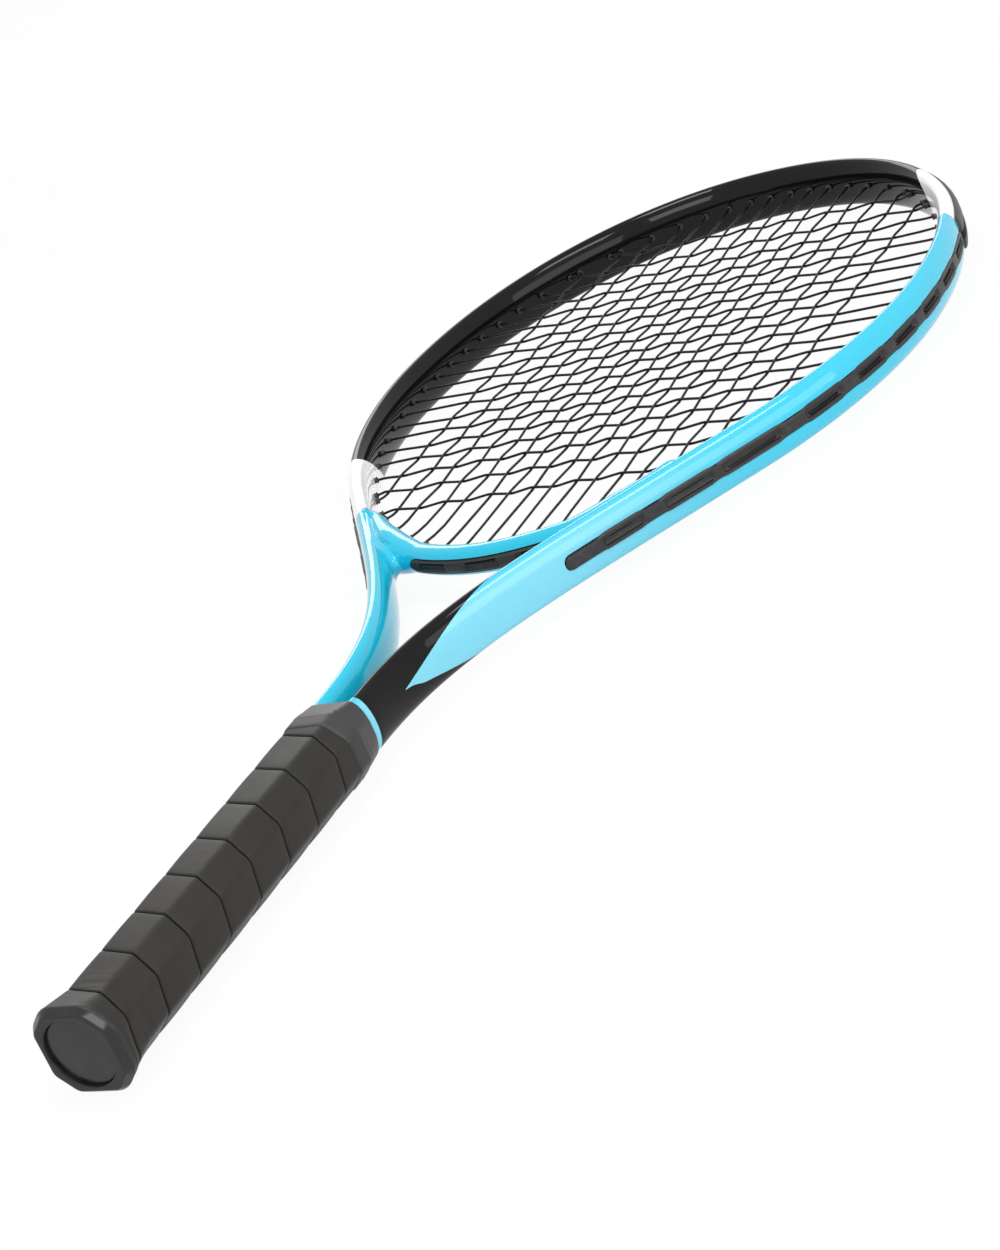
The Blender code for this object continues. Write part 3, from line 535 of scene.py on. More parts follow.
def bridge_hole(angle):
    wall, normal = head_wall(angle)
    half_width, _, set_back = bridge_sizes(angle + QUARTER)
    bend = wall + normal * (set_back - BEND_INSET)
    return Hole(bend, normal, BEND_INSET + 2 * half_width - GROOVE_DEPTH, angle, True)


upper_right = []
lower_right = []
for i, x in enumerate(main_x):
    upper_right.append(tube_hole(solve(lambda a: tube_hole(a).bend[0], 0, QUARTER, x)))
    drill = bridge_hole if i < THROAT_MAINS else leaning_hole
    lower_right.append(drill(solve(lambda a: drill(a).bend[0], -QUARTER, 0, x)))
cross_right = [tube_hole(solve(lambda a: tube_hole(a).bend[1], -QUARTER, QUARTER, y)) for y in cross_y]
throat_right = lower_right[:THROAT_MAINS]
side_right = lower_right[THROAT_MAINS:] + cross_right[: BUMPER_LOWEST_CROSS - 1]
tip_right = upper_right + cross_right[BUMPER_LOWEST_CROSS - 1 :]
groove_start = min(hole.run for hole in side_right) - GROOVE_RUN_OUT
bumper_start = (cross_right[BUMPER_LOWEST_CROSS - 2].run + cross_right[BUMPER_LOWEST_CROSS - 1].run) / 2
print("groove from", round(groove_start * 1000, 1), "mm, head guard from", round(bumper_start * 1000, 1), "mm")

# %% [markdown]
# ## Frame lacquer
#
# The frame is moulded composite under gloss paint: one side black, the other bright blue, with a white panel where
# the colours change. Painting those edges on an image would need a texture, so they are written as sums instead.
# Two values on the tube's points carry them: `run` is the length along the tube, and `girth` goes from 0 on the outer
# wall to 1 on the inner wall. The heights come from the Object coordinates. A fine ripple in the clear coat and a slow
# change in its polish keep the gloss from looking like glass. The right side's blue is also painted paler over its
# outer wall and crown, most on the lower shaft: a painted sheen that stands for reflected light.

# %% Make the lacquer
BLUE = (0.012, 0.51, 0.70, 1)
DEEP_BLUE = (0.0, 0.42, 0.64, 1)
WHITE = (0.92, 0.92, 0.93, 1)
# painted sheen: a paler blue that stands for light reflected on the right side
PAINTED_SHEEN_BLUE = (0.24, 0.62, 0.75, 1)
BLACK = (0.003, 0.003, 0.0035, 1)
CROWN_Z = 0.0119
INNER_FALL = 0.0095
LEFT_WHITE_RUN, LEFT_WHITE_BOW = 0.369, 83
LEFT_BLACK_RUN, LEFT_BLACK_LEAN = 0.435, 1.07
RIGHT_WHITE_RUN = 0.5965
RIGHT_BLACK_RUN, RIGHT_BLACK_LEAN = 0.668, 3.0
WEDGE_RUN, WEDGE_REACH, WEDGE_POWER = 0.2022, 0.112, 0.68
WEDGE_UNDER = 0.007
RING_LOW, RING_HIGH = 0.194, 0.1985


def height_band(y, low, high, low_blur=EDGE_BLUR, high_blur=EDGE_BLUR):
    """1 between two heights in plan, 0 below and above them."""
    return y.over(low - LENGTH / 2, low_blur) * (1 - y.over(high - LENGTH / 2, high_blur))


def make_lacquer():
    material, shader, start, place = new_finish("frame_lacquer", Coat_Roughness=0.03, Specular_IOR_Level=0.03)
    x, y, z = (place.part(axis) for axis in range(3))
    run, girth = start.attribute("run"), start.attribute("girth")
    right = x.over(0.0)
    left = 1 - right
    down = CROWN_Z - (z - BUTT_HEIGHT / 2)
    left_low = run.over(LEFT_WHITE_RUN + down * down * LEFT_WHITE_BOW)
    left_high = run.over(LEFT_BLACK_RUN + down * LEFT_BLACK_LEAN)
    inner_fall = down.sum("MINIMUM", down, INNER_FALL)
    right_low = run.over(RIGHT_WHITE_RUN)
    right_high = run.over(RIGHT_BLACK_RUN - inner_fall * RIGHT_BLACK_LEAN)
    under = (1 - z.over(BUTT_HEIGHT / 2 - 0.0008, 0.0008)) * girth.over(0.06, 0.06)
    wedge = 1 - run.over(WEDGE_RUN + (girth + 0.02) ** WEDGE_POWER * WEDGE_REACH - under * WEDGE_UNDER)
    ring = height_band(y, RING_LOW, RING_HIGH)
    dark = left * left_high + right * right_high + right * wedge * (1 - ring)
    white = left * left_low * (1 - left_high) + right * right_low * (1 - right_high)
    cloud = start.noise(place, 14.0)
    # Painted sheen: the right side's outer wall and crown are painted paler, most on the lower shaft's outer wall, for
    # reflected light.
    sheen_low_outside = (1 - run.over(0.36, 0.07)) * (1 - girth.over(0.36, 0.12))
    painted_sheen = right * (1 - girth.over(0.7, 0.2)) * sheen_low_outside.spread(0.12, 0.75)
    blue = start.mix(painted_sheen, start.mix(cloud.spread(0.0, 0.5), BLUE, DEEP_BLUE), PAINTED_SHEEN_BLUE)
    colour = start.mix(white, start.mix(dark, blue, BLACK), WHITE)
    polish = start.noise(place, 60.0, 4.0)
    ripple = start.noise(place, 160.0)
    connect(
        shader,
        Base_Color=colour,
        Roughness=polish.spread(0.14, 0.24),
        Coat_Weight=(1 - dark).spread(0.36, 0.85),
        Normal=bump(ripple, 0.000002),
    )
    return material


lacquer = make_lacquer()
print("lacquer", len(lacquer.node_tree.nodes), "nodes")

# %% [markdown]
# ## The bent tube
#
# The tube's section is an ellipse, tall out of the string plane, with a groove in the head's outer wall for the
# nylon strips. The groove starts with a round end on each shaft. The sections are lofted along the line, with the
# groove's mouth opening like a half circle, and they lie closer together there.

# %% Loft the tube
LIP_RADIUS = 0.0004
CROWN_POINTS = 30
START_SHARES = np.array([0.2, 0.4, 0.6, 0.8])
LEG_RUN, LEG_ROWS = 0.174, 8
TAPER_RUN, TAPER_ROWS = 0.190, 22
SHAFT_ROWS = 56
HEAD_ROWS = 190


def groove_mouth(run, start, half):
    """Half height of a groove or strip with a round end, at lengths along the line."""
    into = np.clip((run - start) / half, 0, 1)
    return half * np.sqrt(1 - (1 - into) ** 2)


def wall_at(half_width, half_height, up):
    """How far out the wall of an elliptical section is at a height."""
    return half_width * math.sqrt(1 - (up / half_height) ** 2)


def tube_profile(half_width, half_height, mouth):
    """Section in (outward, up) points from the groove over the crown to the inner wall and back, and girth."""
    edge = wall_at(half_width, half_height, mouth)
    angles = np.linspace(math.asin((mouth + 2 * LIP_RADIUS) / half_height), math.pi, CROWN_POINTS)
    closed = angles[0] * START_SHARES
    if mouth > 0:
        floor = edge - GROOVE_DEPTH
        groove = [(floor, mouth * 0.6), (floor, mouth * 0.99), (edge - LIP_RADIUS, mouth)]
        groove.append((edge - LIP_RADIUS * 0.25, mouth + LIP_RADIUS * 0.35))
    else:
        groove = np.stack([half_width * np.cos(closed), half_height * np.sin(closed)], 1)
    crown = np.stack([half_width * np.cos(angles), half_height * np.sin(angles)], 1)
    upper = np.concatenate([groove, crown])
    lower = upper[-2::-1] * np.array([1, -1])
    girth = np.concatenate([closed, angles]) / math.pi
    return np.concatenate([upper, lower]), np.concatenate([girth, girth[-2::-1]])


end_steps = [-0.004, -0.001, -0.0001, 0, 0.00005, 0.0002, 0.0005, 0.001, 0.0016, 0.0024, 0.0033, 0.005]
runs = np.concatenate(
    [
        np.linspace(0, LEG_RUN, LEG_ROWS)[:-1],
        np.linspace(LEG_RUN, TAPER_RUN, TAPER_ROWS)[:-1],
        np.linspace(TAPER_RUN, groove_start - 0.006, SHAFT_ROWS),
        groove_start + np.array(end_steps),
        np.linspace(groove_start + 0.008, RUN[-1], HEAD_ROWS),
    ]
)
points, normals = line_at(runs)
mouths = groove_mouth(runs, groove_start, GROOVE_HALF_HEIGHT)
sections = [tube_profile(*beam_sizes(y), mouth) for y, mouth in zip(points[:, 1], mouths)]
profiles, girths = (np.array(column) for column in zip(*sections))
tube_loops = mirrored_loft(points, normals, profiles)
tube_runs = np.concatenate([runs, runs[-2::-1]])[:, None]
tube_girths = np.concatenate([girths, girths[-2::-1]])
tube_mesh = skin_mesh("bent_tube", tube_loops, run=tube_runs, girth=tube_girths)
tube = finished_object("bent_tube", tube_mesh, lacquer)
stand_in(tube, "frame_lacquer", "frame_hairpin")

# %% [markdown]
# ## The throat bridge
#
# The bridge closes the oval between the shafts, and the moulding flows into them with a fillet all round. To get
# that flow, each line along the bridge is followed until it meets the tube. It stops a fillet's radius short, and
# a small Bezier arc takes it from the bridge's direction to a point on the tube, along the tube's own surface.

# %% Measure distances from the tube
GROOVE_END_ANGLE = 0.0045 / HEAD_HALF_WIDTH


def tube_distance(points):
    """Signed distance of points from the tube's right half, nearly, and its surface normals there."""
    i = nearest(points[:, :2])
    out = ((points[:, :2] - LINE[i]) * OUTWARD[i]).sum(1)
    half_width, half_height = beam_sizes(LINE[i, 1])
    radius = np.hypot(out / half_width, points[:, 2] / half_height)
    across = out / half_width**2
    up = points[:, 2] / half_height**2
    normal = np.concatenate([OUTWARD[i] * across[:, None], up[:, None]], 1) / radius[:, None]
    slope = np.linalg.norm(normal, axis=1)
    return (radius - 1) / slope, normal / slope[:, None]


def on_bridge(away, profile):
    """Stands a profile on the bridge at an angle away from its middle: returns points and the normal."""
    wall, normal = head_wall(away - QUARTER)
    half_width, _, set_back = bridge_sizes(away)
    centre = wall + normal * (half_width + set_back)
    return plan_section(centre[None], normal[None], profile)[0], normal


def bridge_rows(aways):
    """Loops of the bridge at angles away from its middle, and the outward direction of each of their points."""
    rows = []
    facing = []
    for away in aways:
        half_width, half_height, _ = bridge_sizes(away)
        opened = groove_mouth(-away, -throat_half_angle, GROOVE_END_ANGLE) / GROOVE_END_ANGLE
        profile, _ = tube_profile(half_width, half_height, GROOVE_HALF_HEIGHT * opened)
        row, normal = on_bridge(away, profile)
        rows.append(row)
        tilt = profile / np.array([half_width**2, half_height**2])
        facing.append(unit(np.concatenate([normal * tilt[:, :1], tilt[:, 1:]], 1)))
    return np.array(rows), np.array(facing)


print("tube surface ready")

# %% Lead a line onto the tube
STRAIGHT_ROWS = 12
FILLET_ROWS = 12
FILLET_RADIUS = 0.0075
FILLET_PULL = 0.4125
LEAST_SLIDE = 0.05
LEAST_REACH = 0.001
LANDING_TRIES = 4
SEAT_DEPTH = 0.00004


def laid_on(direction, normal):
    """The part of a direction that lies along a surface."""
    return direction - normal * (direction @ normal)


def filleted(path, facing):
    """A line along the bridge, stopped short of the tube and led onto it by an arc."""
    gap, surface = tube_distance(path)
    inside = np.argmax(gap < 0) if (gap < 0).any() else len(path) - 1
    length = lengths_along(path)
    leave = max(0.0, length[inside] - FILLET_RADIUS)
    stops = np.linspace(0, leave, STRAIGHT_ROWS)
    straight = np.stack([np.interp(stops, length, path[:, j]) for j in range(3)], 1)
    i = min(np.searchsorted(length, leave), len(path) - 2)
    heading = unit(path[i + 1] - path[i])
    slide = laid_on(facing[inside], surface[inside])
    if np.linalg.norm(slide) < LEAST_SLIDE:
        slide = laid_on(heading, surface[inside])
    slide = unit(slide)
    land = path[inside] + slide * max(LEAST_REACH, length[inside] - leave)
    for _ in range(LANDING_TRIES):
        miss, there = tube_distance(land[None])
        land = land - there[0] * miss[0]
    slide = unit(laid_on(slide, there[0]))
    pull = FILLET_PULL * np.linalg.norm(land - straight[-1])
    shares = np.linspace(0, 1, FILLET_ROWS + 1)[1:]
    arc = bezier(shares, straight[-1], straight[-1] + heading * pull, land - slide * pull, land)
    arc[-1] -= there[0] * SEAT_DEPTH
    return np.concatenate([straight, arc])


print("fillets have", FILLET_ROWS, "rows")

# %% Loft the bridge with its fillets
EVEN_ROWS = 26
DENSE_ROWS = 160
PAST_GROOVE = 0.0008
BRIDGE_RUN = 0.34
past_groove = throat_half_angle + PAST_GROOVE
sweep = np.linspace(0, throat_half_angle, EVEN_ROWS)
near_end = throat_half_angle - np.array([0.004, 0.002, 0.001, 0.0004, 0.0001]) / HEAD_HALF_WIDTH
even_rows, _ = bridge_rows(np.unique(np.concatenate([sweep, near_end, [past_groove]])))
end_angle = throat_half_angle + BRIDGE_ANGLES[-1]
dense_rows, dense_facing = bridge_rows(np.linspace(past_groove, end_angle, DENSE_ROWS))
lines = range(dense_rows.shape[1])
fillet_rows = np.stack([filleted(dense_rows[:, k], dense_facing[:, k]) for k in lines], 1)
right_rows = np.concatenate([even_rows[:-1], fillet_rows])
left_rows = (right_rows * np.array([-1, 1, 1]))[:0:-1]
bridge_loops = np.concatenate([left_rows, right_rows])
bridge_mesh = skin_mesh("bridge_moulding", bridge_loops, run=BRIDGE_RUN, girth=1.0)
bridge = finished_object("bridge_moulding", bridge_mesh, lacquer)
stand_in(bridge, "frame_lacquer", "throat_bridge")

# %% [markdown]
# ## Nylon for the grommets
#
# Grommet strips are injection moulded in black nylon, which is nearly black but not glossy: the mould leaves a fine
# matt grain, and handling polishes it unevenly. The grain is a small noise for the bump, and a larger noise moves
# the colour and the polish a little, so that the strip reads apart from the gloss lacquer beside it.


# %% Make the nylon
def make_nylon():
    material, shader, start, place = new_finish("grommet_nylon", Specular_IOR_Level=0.4)
    mottle = start.noise(place, 90.0, 3.0)
    grain = start.noise(place, 2400.0)
    scuff = start.noise(place, 260.0, 5.0).over(0.62, 0.06)
    colour = start.mix(mottle, (0.014, 0.013, 0.0145, 1), (0.024, 0.022, 0.024, 1))
    connect(
        shader,
        Base_Color=start.mix(scuff * 0.4, colour, grey(0.045)),
        Roughness=mottle.spread(0.36, 0.5),
        Normal=bump(grain, 0.000012),
    )
    return material


nylon = make_nylon()
print("nylon", len(nylon.node_tree.nodes), "nodes")

# %% [markdown]
# ## Grommet barrels
#
# Every string end passes through the tube in a nylon barrel, whose rounded tip stands a little proud of the inner
# wall so that the string doesn't touch the edge of the hole. There are seventy of them, all alike, so one Geometry
# Nodes tree stands a small barrel on each point of a cloud and turns it along that point's own hole.


# %% Helpers for node trees
def add_node(tree, kind, settings=None, sockets=None):
    """Adds a Geometry Nodes node, sets it up first, then gives its sockets values or links."""
    made = tree.nodes.new(kind)
    for name, value in (settings or {}).items():
        setattr(made, name, value)
    for name, value in (sockets or {}).items():
        if isinstance(value, bpy.types.NodeSocket):
            tree.links.new(value, made.inputs[name])
        else:
            made.inputs[name].default_value = value
    return made


def new_tree(name, sizes):
    """A tree with a geometry input and output, and a named input for each size: returns it and its ends."""
    tree = bpy.data.node_groups.new(name, "GeometryNodeTree")
    tree.interface.new_socket("Geometry", in_out="INPUT", socket_type="NodeSocketGeometry")
    tree.interface.new_socket("Geometry", in_out="OUTPUT", socket_type="NodeSocketGeometry")
    for size, value in sizes.items():
        kind = "NodeSocketInt" if isinstance(value, int) else "NodeSocketFloat"
        tree.interface.new_socket(size, in_out="INPUT", socket_type=kind).default_value = value
    return tree, tree.nodes.new("NodeGroupInput").outputs, tree.nodes.new("NodeGroupOutput")


def close_tree(tree, geometry, material, end):
    """Ends a tree in Realize Instances and Set Material."""
    real = add_node(tree, "GeometryNodeRealizeInstances", None, {"Geometry": geometry})
    paint = {"Geometry": real.outputs[0], "Material": material}
    painted = add_node(tree, "GeometryNodeSetMaterial", None, paint)
    tree.links.new(painted.outputs[0], end.inputs[0])


def scaled(tree, value, factor):
    return add_node(tree, "ShaderNodeMath", {"operation": "MULTIPLY"}, {0: value, 1: factor}).outputs[0]


def grown_mesh(name, seed_mesh, tree, **sizes):
    """Runs a tree on a mesh, with its sizes set by identifier, and returns the result as a plain mesh."""
    carrier = add_object(name, seed_mesh)
    modifier = carrier.modifiers.new("grow", "NODES")
    modifier.node_group = tree
    for socket in tree.interface.items_tree:
        if socket.in_out == "INPUT" and socket.name in sizes:
            modifier[socket.identifier] = sizes[socket.name]
    seen = carrier.evaluated_get(bpy.context.evaluated_depsgraph_get())
    grown = bpy.data.meshes.new_from_object(seen)
    carrier.modifiers.clear()
    bpy.data.objects.remove(carrier)
    return grown


print("tree helpers ready")

# %% Build the barrel tree
BARREL_SIZES = {"Diameter": 0.0031, "Length": 0.0045, "Lip": 0.0006}
BARREL_SIDES = 12
BARREL_TAPER = 0.82
LIP_SIDES = 5


def barrel_tree():
    tree, given, end = new_tree("barrels", BARREL_SIZES)
    radius = scaled(tree, given["Diameter"], 0.5)
    narrow = scaled(tree, radius, BARREL_TAPER)
    sizes = {"Vertices": BARREL_SIDES, "Radius Top": radius, "Radius Bottom": narrow, "Depth": given["Length"]}
    cone = add_node(tree, "GeometryNodeMeshCone", None, sizes)
    around = {"Resolution": BARREL_SIDES, "Radius": narrow}
    around = add_node(tree, "GeometryNodeCurvePrimitiveCircle", None, around)
    bead = {"Resolution": LIP_SIDES, "Radius": scaled(tree, given["Lip"], 0.5)}
    bead = add_node(tree, "GeometryNodeCurvePrimitiveCircle", None, bead)
    lip = {"Curve": around.outputs[0], "Profile Curve": bead.outputs[0]}
    lip = add_node(tree, "GeometryNodeCurveToMesh", None, lip)
    barrel = add_node(tree, "GeometryNodeJoinGeometry")
    tree.links.new(cone.outputs[0], barrel.inputs[0])
    tree.links.new(lip.outputs[0], barrel.inputs[0])
    axis = {"data_type": "FLOAT_VECTOR"}, {"Name": "axis"}
    axis = add_node(tree, "GeometryNodeInputNamedAttribute", *axis)
    turn = {"axis": "Z"}, {"Vector": axis.outputs[0]}
    turn = add_node(tree, "FunctionNodeAlignRotationToVector", *turn)
    points = add_node(tree, "GeometryNodeMeshToPoints", None, {"Mesh": given["Geometry"]})
    stand = {"Points": points.outputs[0], "Instance": barrel.outputs[0], "Rotation": turn.outputs[0]}
    stand = add_node(tree, "GeometryNodeInstanceOnPoints", None, stand)
    smooth = add_node(tree, "GeometryNodeSetShadeSmooth", None, {"Geometry": stand.outputs[0]})
    close_tree(tree, smooth.outputs[0], nylon, end)
    return tree


barrels_of_nylon = barrel_tree()
print("barrel tree", len(barrels_of_nylon.nodes), "nodes")


# %% Stand barrels in a row of holes
def both(holes):
    return [hole.mirror() for hole in holes] + list(holes)


def barrel_mesh(holes, name):
    """Barrels at holes, from their tips inside the head into the wall."""
    tips = [hole.at(BEND_INSET - hole.floor - BARREL_STAND) for hole in holes]
    cloud = bpy.data.meshes.new(name)
    cloud.from_pydata([(tip + PLAN_TO_FRAME).tolist() for tip in tips], [], [])
    axis = cloud.attributes.new("axis", "FLOAT_VECTOR", "POINT")
    axis.data.foreach_set("vector", np.array([(*hole.axis, 0.0) for hole in holes], np.float32).ravel())
    return grown_mesh(name, cloud, barrels_of_nylon, **BARREL_SIZES)


print(len(both(upper_right + lower_right + cross_right)), "holes in all")

# %% [markdown]
# ## Grommet strips and head guard
#
# Outside the head the barrels grow from a band that lies in the tube's groove. Its face is smooth and follows the
# tube, and only where a string goes from one hole to the next is there a pocket for it, where the band also swells
# over the paint. Round the tip the band widens into the head guard, which wraps over the outer wall, so that the
# paint survives a scrape on the ground. All are sections lofted along the tube's line, or along the bridge for the
# throat, and the pockets come from the pairs of holes that a string joins.

# %% Sections of the strips
STRIP_HALF_HEIGHT = GROOVE_HALF_HEIGHT - CLEARANCE
STRIP_END_HALF = 0.0002
STRIP_STAND = 0.0001
SWELL_WIDTH = 0.0008
POCKET_DEPTH = 0.0014
CHANNEL_HALF_HEIGHT = 0.0018
GUARD_HALF_HEIGHT = 0.0078
BAND_FLOOR = CLEARANCE - GROOVE_DEPTH


def pocket_share(place, spans, margin, ramp):
    """1 where a string lies between two holes, 0 elsewhere, with ramps beyond the holes."""
    lows, highs = np.transpose(spans)
    shares = smooth_step((place - lows + margin) / ramp) * smooth_step((highs + margin - place) / ramp)
    return float(shares.max())


def whole_section(upper):
    """The closed section whose upper half is given."""
    return np.array(upper + [(out, -up) for out, up in reversed(upper)])


def strip_profile(half_width, half_height, half, swell, pocket, stand):
    """Section of a strip in a tube's groove, which may swell over the paint and have a pocket for a string."""
    wide = half + SWELL_WIDTH * swell

    def wall(up):
        crown = stand * min(1.0, 3 * (1 - (up / wide) ** 2)) if up < wide else 0.0
        return wall_at(half_width, half_height, up) + crown

    slot = min(CHANNEL_HALF_HEIGHT, half * 0.6)
    deep = max(POCKET_DEPTH * pocket, 0.00001)
    small = half / STRIP_HALF_HEIGHT
    return whole_section(
        [
            (half_width + BAND_FLOOR, half * 0.97),
            (wall(half) - 0.0003, half),
            (wall(wide) + 0.00003 * swell, wide),
            (wall(wide) + 0.00016 * swell, wide - 0.00004 * small),
            (wall(wide) + 0.00022 * swell, wide - 0.00025 * small),
            (wall(wide * 0.8) + 0.00015 * swell, wide * 0.8),
            (wall(wide * 0.7), wide * 0.7),
            (wall(slot), slot + 0.00025 * small),
            (wall(slot) - deep * 0.2, slot + 0.00005 * small),
            (wall(0) - deep * 0.85, slot - 0.0002 * small),
            (wall(0) - deep, slot * 0.6),
        ]
    )


def guard_profile(wrap):
    """Section of the head guard: a strip at 0, and at 1 a guard that wraps over the outer wall."""
    floor = HALF_BEAM + BAND_FLOOR
    flank = STRIP_HALF_HEIGHT + (GUARD_HALF_HEIGHT - STRIP_HALF_HEIGHT) * wrap

    def wall(up):
        return wall_at(HALF_BEAM, BEAM_HEIGHT / 2, up)

    stand = STRIP_STAND + (BUMPER_STAND - STRIP_STAND) * wrap
    upper = [(floor, STRIP_HALF_HEIGHT - 0.0002), (wall(STRIP_HALF_HEIGHT) - 0.0004, STRIP_HALF_HEIGHT)]
    upper.append((wall(flank) - 0.0002, flank))
    for share, rise in ((1.0, 0.45), (0.93, 0.75), (0.8, 0.9), (0.6, 1.0), (0.4, 1.02), (0.32, 0.98)):
        up = CHANNEL_HALF_HEIGHT + (flank - CHANNEL_HALF_HEIGHT) * share
        upper.append((wall(up) + stand * rise, up))
    upper.append((wall(0) + stand * 0.9, CHANNEL_HALF_HEIGHT + 0.0002))
    upper.append((floor + BAND_THICKNESS, CHANNEL_HALF_HEIGHT - 0.0001))
    upper.append((floor + BAND_THICKNESS, CHANNEL_HALF_HEIGHT * 0.5))
    return whole_section(upper)


print("guard section", len(guard_profile(1.0)), "points")

# %% Loft the side strips
STRIP_ROWS = 480
SWELL_MARGIN, SWELL_RAMP = 0.006, 0.006
POCKET_MARGIN, POCKET_RAMP = 0.0032, 0.0018
STRIP_PROUD = 0.0009
PROUD_RUN, PROUD_FADE = 0.37, 0.07
strip_low = groove_start + CLEARANCE
strip_high = bumper_start - CLEARANCE
end_rows = strip_low + np.array([0.00003, 0.0001, 0.0003, 0.0006, 0.001, 0.0016, 0.0022, 0.003])
strip_runs = np.concatenate([end_rows, np.linspace(strip_low + 0.004, strip_high, STRIP_ROWS)])
strip_points, strip_normals = line_at(strip_runs)


def span_of(first, second):
    """The lengths along the tube between which a string joins two holes."""
    return tuple(sorted((first.run, second.run)))


main_pairs = range(THROAT_MAINS, MAINS_PER_SIDE - 1, 2)
main_spans = [span_of(lower_right[i], lower_right[i + 1]) for i in main_pairs]
main_spans.append(span_of(lower_right[-1], lower_right[-1]))


def strip_sections(first_cross):
    """Sections of a side strip whose strings join pairs of crosses from the given one up."""
    pairs = range(first_cross, BUMPER_LOWEST_CROSS, 2)
    spans = main_spans + [span_of(cross_right[j], cross_right[j + 1]) for j in pairs]
    if first_cross:
        spans.append(span_of(cross_right[0], cross_right[0]))
    sections = []
    for run in strip_runs:
        half = max(groove_mouth(run, strip_low, STRIP_HALF_HEIGHT), STRIP_END_HALF)
        swell = pocket_share(run, spans, SWELL_MARGIN, SWELL_RAMP)
        pocket = pocket_share(run, spans, POCKET_MARGIN, POCKET_RAMP)
        proud = STRIP_PROUD * (1 - smooth_step((run - PROUD_RUN) / PROUD_FADE))
        stand = STRIP_STAND + proud * half / STRIP_HALF_HEIGHT
        sections.append(strip_profile(HALF_BEAM, BEAM_HEIGHT / 2, half, swell, pocket, stand))
    return np.array(sections)


for side, name in ((1, "right"), (-1, "left")):
    flip = np.array([side, 1])
    sections = strip_sections(0 if side > 0 else 1)
    band = skin_mesh("band", plan_section(strip_points * flip, strip_normals * flip, sections))
    holes = side_right if side > 0 else [hole.mirror() for hole in side_right]
    strip_mesh = joined("strip", [band, barrel_mesh(holes, "barrels")])
    strip = finished_object(f"side_strip_{name}", strip_mesh, nylon, 50)
    stand_in(strip, "grommet_nylon", f"side_grommet_strip_{name}")

# %% Loft the head guard
GUARD_ROWS = 70
GUARD_END = 0.0055
guard_low = bumper_start + CLEARANCE
guard_ends = guard_low + np.array([0.00004, 0.0002, 0.0005, 0.001, 0.0017, 0.0026, 0.0036, 0.0047, 0.0058])
guard_runs = np.concatenate([guard_ends, np.linspace(bumper_start + 0.008, RUN[-1], GUARD_ROWS)])
guard_points, guard_normals = line_at(guard_runs)
guard_wraps = groove_mouth(guard_runs, guard_low, GUARD_END) / GUARD_END
guard_sections = np.array([guard_profile(wrap) for wrap in guard_wraps])
guard_band = skin_mesh("band", mirrored_loft(guard_points, guard_normals, guard_sections))
guard_mesh = joined("guard", [guard_band, barrel_mesh(both(tip_right), "barrels")])
guard = finished_object("head_guard", guard_mesh, nylon, 50)
stand_in(guard, "grommet_nylon", "bumper_guard")

# %% Loft the throat strip
THROAT_ROWS = 120
THROAT_STAND = 0.0002
THROAT_POCKET_MARGIN, THROAT_POCKET_RAMP = 0.0025, 0.0015
throat_reach_angle = throat_half_angle - CLEARANCE / HEAD_HALF_WIDTH
inward = np.array([0.00003, 0.0003, 0.0008, 0.0016, 0.0026]) / HEAD_HALF_WIDTH
throat_ends = throat_reach_angle - inward
throat_even = np.linspace(-0.9, 0.9, THROAT_ROWS) * throat_reach_angle
throat_aways = np.unique(np.concatenate([throat_ends, -throat_ends, throat_even]))
first, second, third = ((hole.run + QUARTER) * HEAD_HALF_WIDTH for hole in throat_right)
throat_spans = [(-first, first), (second, third), (-third, -second)]
throat_rows = []
for away in throat_aways:
    half_width, half_height, _ = bridge_sizes(away)
    into = (throat_reach_angle - abs(away)) * HEAD_HALF_WIDTH
    half = max(groove_mouth(into, 0.0, STRIP_HALF_HEIGHT), STRIP_END_HALF)
    place = away * HEAD_HALF_WIDTH
    pocket = pocket_share(place, throat_spans, THROAT_POCKET_MARGIN, THROAT_POCKET_RAMP)
    profile = strip_profile(half_width, half_height, half, 0.0, pocket, THROAT_STAND)
    throat_rows.append(on_bridge(away, profile)[0])
throat_mesh = joined("throat", [skin_mesh("band", throat_rows), barrel_mesh(both(throat_right), "barrels")])
throat_strip = finished_object("throat_strip", throat_mesh, nylon, 50)
stand_in(throat_strip, "grommet_nylon", "throat_grommet_strip")

# %% [markdown]
# ## String finish
#
# The strings are black monofilament. Extrusion leaves them smooth with faint lengthwise streaks, and the crossings
# are scuffed matt where the strings saw at each other. The scuffs are a noise with a soft threshold, and they change
# the polish more than the colour.


# %% Make the string finish
def make_string_finish():
    material, shader, start, place = new_finish("string_black", Specular_IOR_Level=0.22)
    scuff = start.noise(place, 420.0, 3.0).over(0.55, 0.08)
    streak = start.noise(place, 1800.0)
    connect(
        shader,
        Base_Color=start.mix(scuff, grey(0.002), grey(0.007)),
        Roughness=scuff.spread(0.32, 0.55),
        Normal=bump(streak, 0.000008),
    )
    return material


string_black = make_string_finish()
print("string finish", len(string_black.node_tree.nodes), "nodes")

# %% [markdown]
# ## Strung mains and crosses
#
# One string makes all the mains and another all the crosses. Each goes out through a hole, along the groove to the
# next hole and back in. In the bed both give way: a cross rises over one main and dips under the next, and the
# mains bend a little the other way. The paths are rows of points with their corners cut twice, and a Geometry Nodes
# tree draws a round string along them.

# %% Take a string through a hole and along the groove
GROOVE_STEP = 0.005


def soften(path):
    """Cuts each corner of a path at a quarter of its sides, and keeps its ends."""
    first, second = path[:-1], path[1:]
    cut = np.stack([0.75 * first + 0.25 * second, 0.25 * first + 0.75 * second], 1).reshape(-1, 3)
    return np.concatenate([path[:1], cut, path[-1:]])


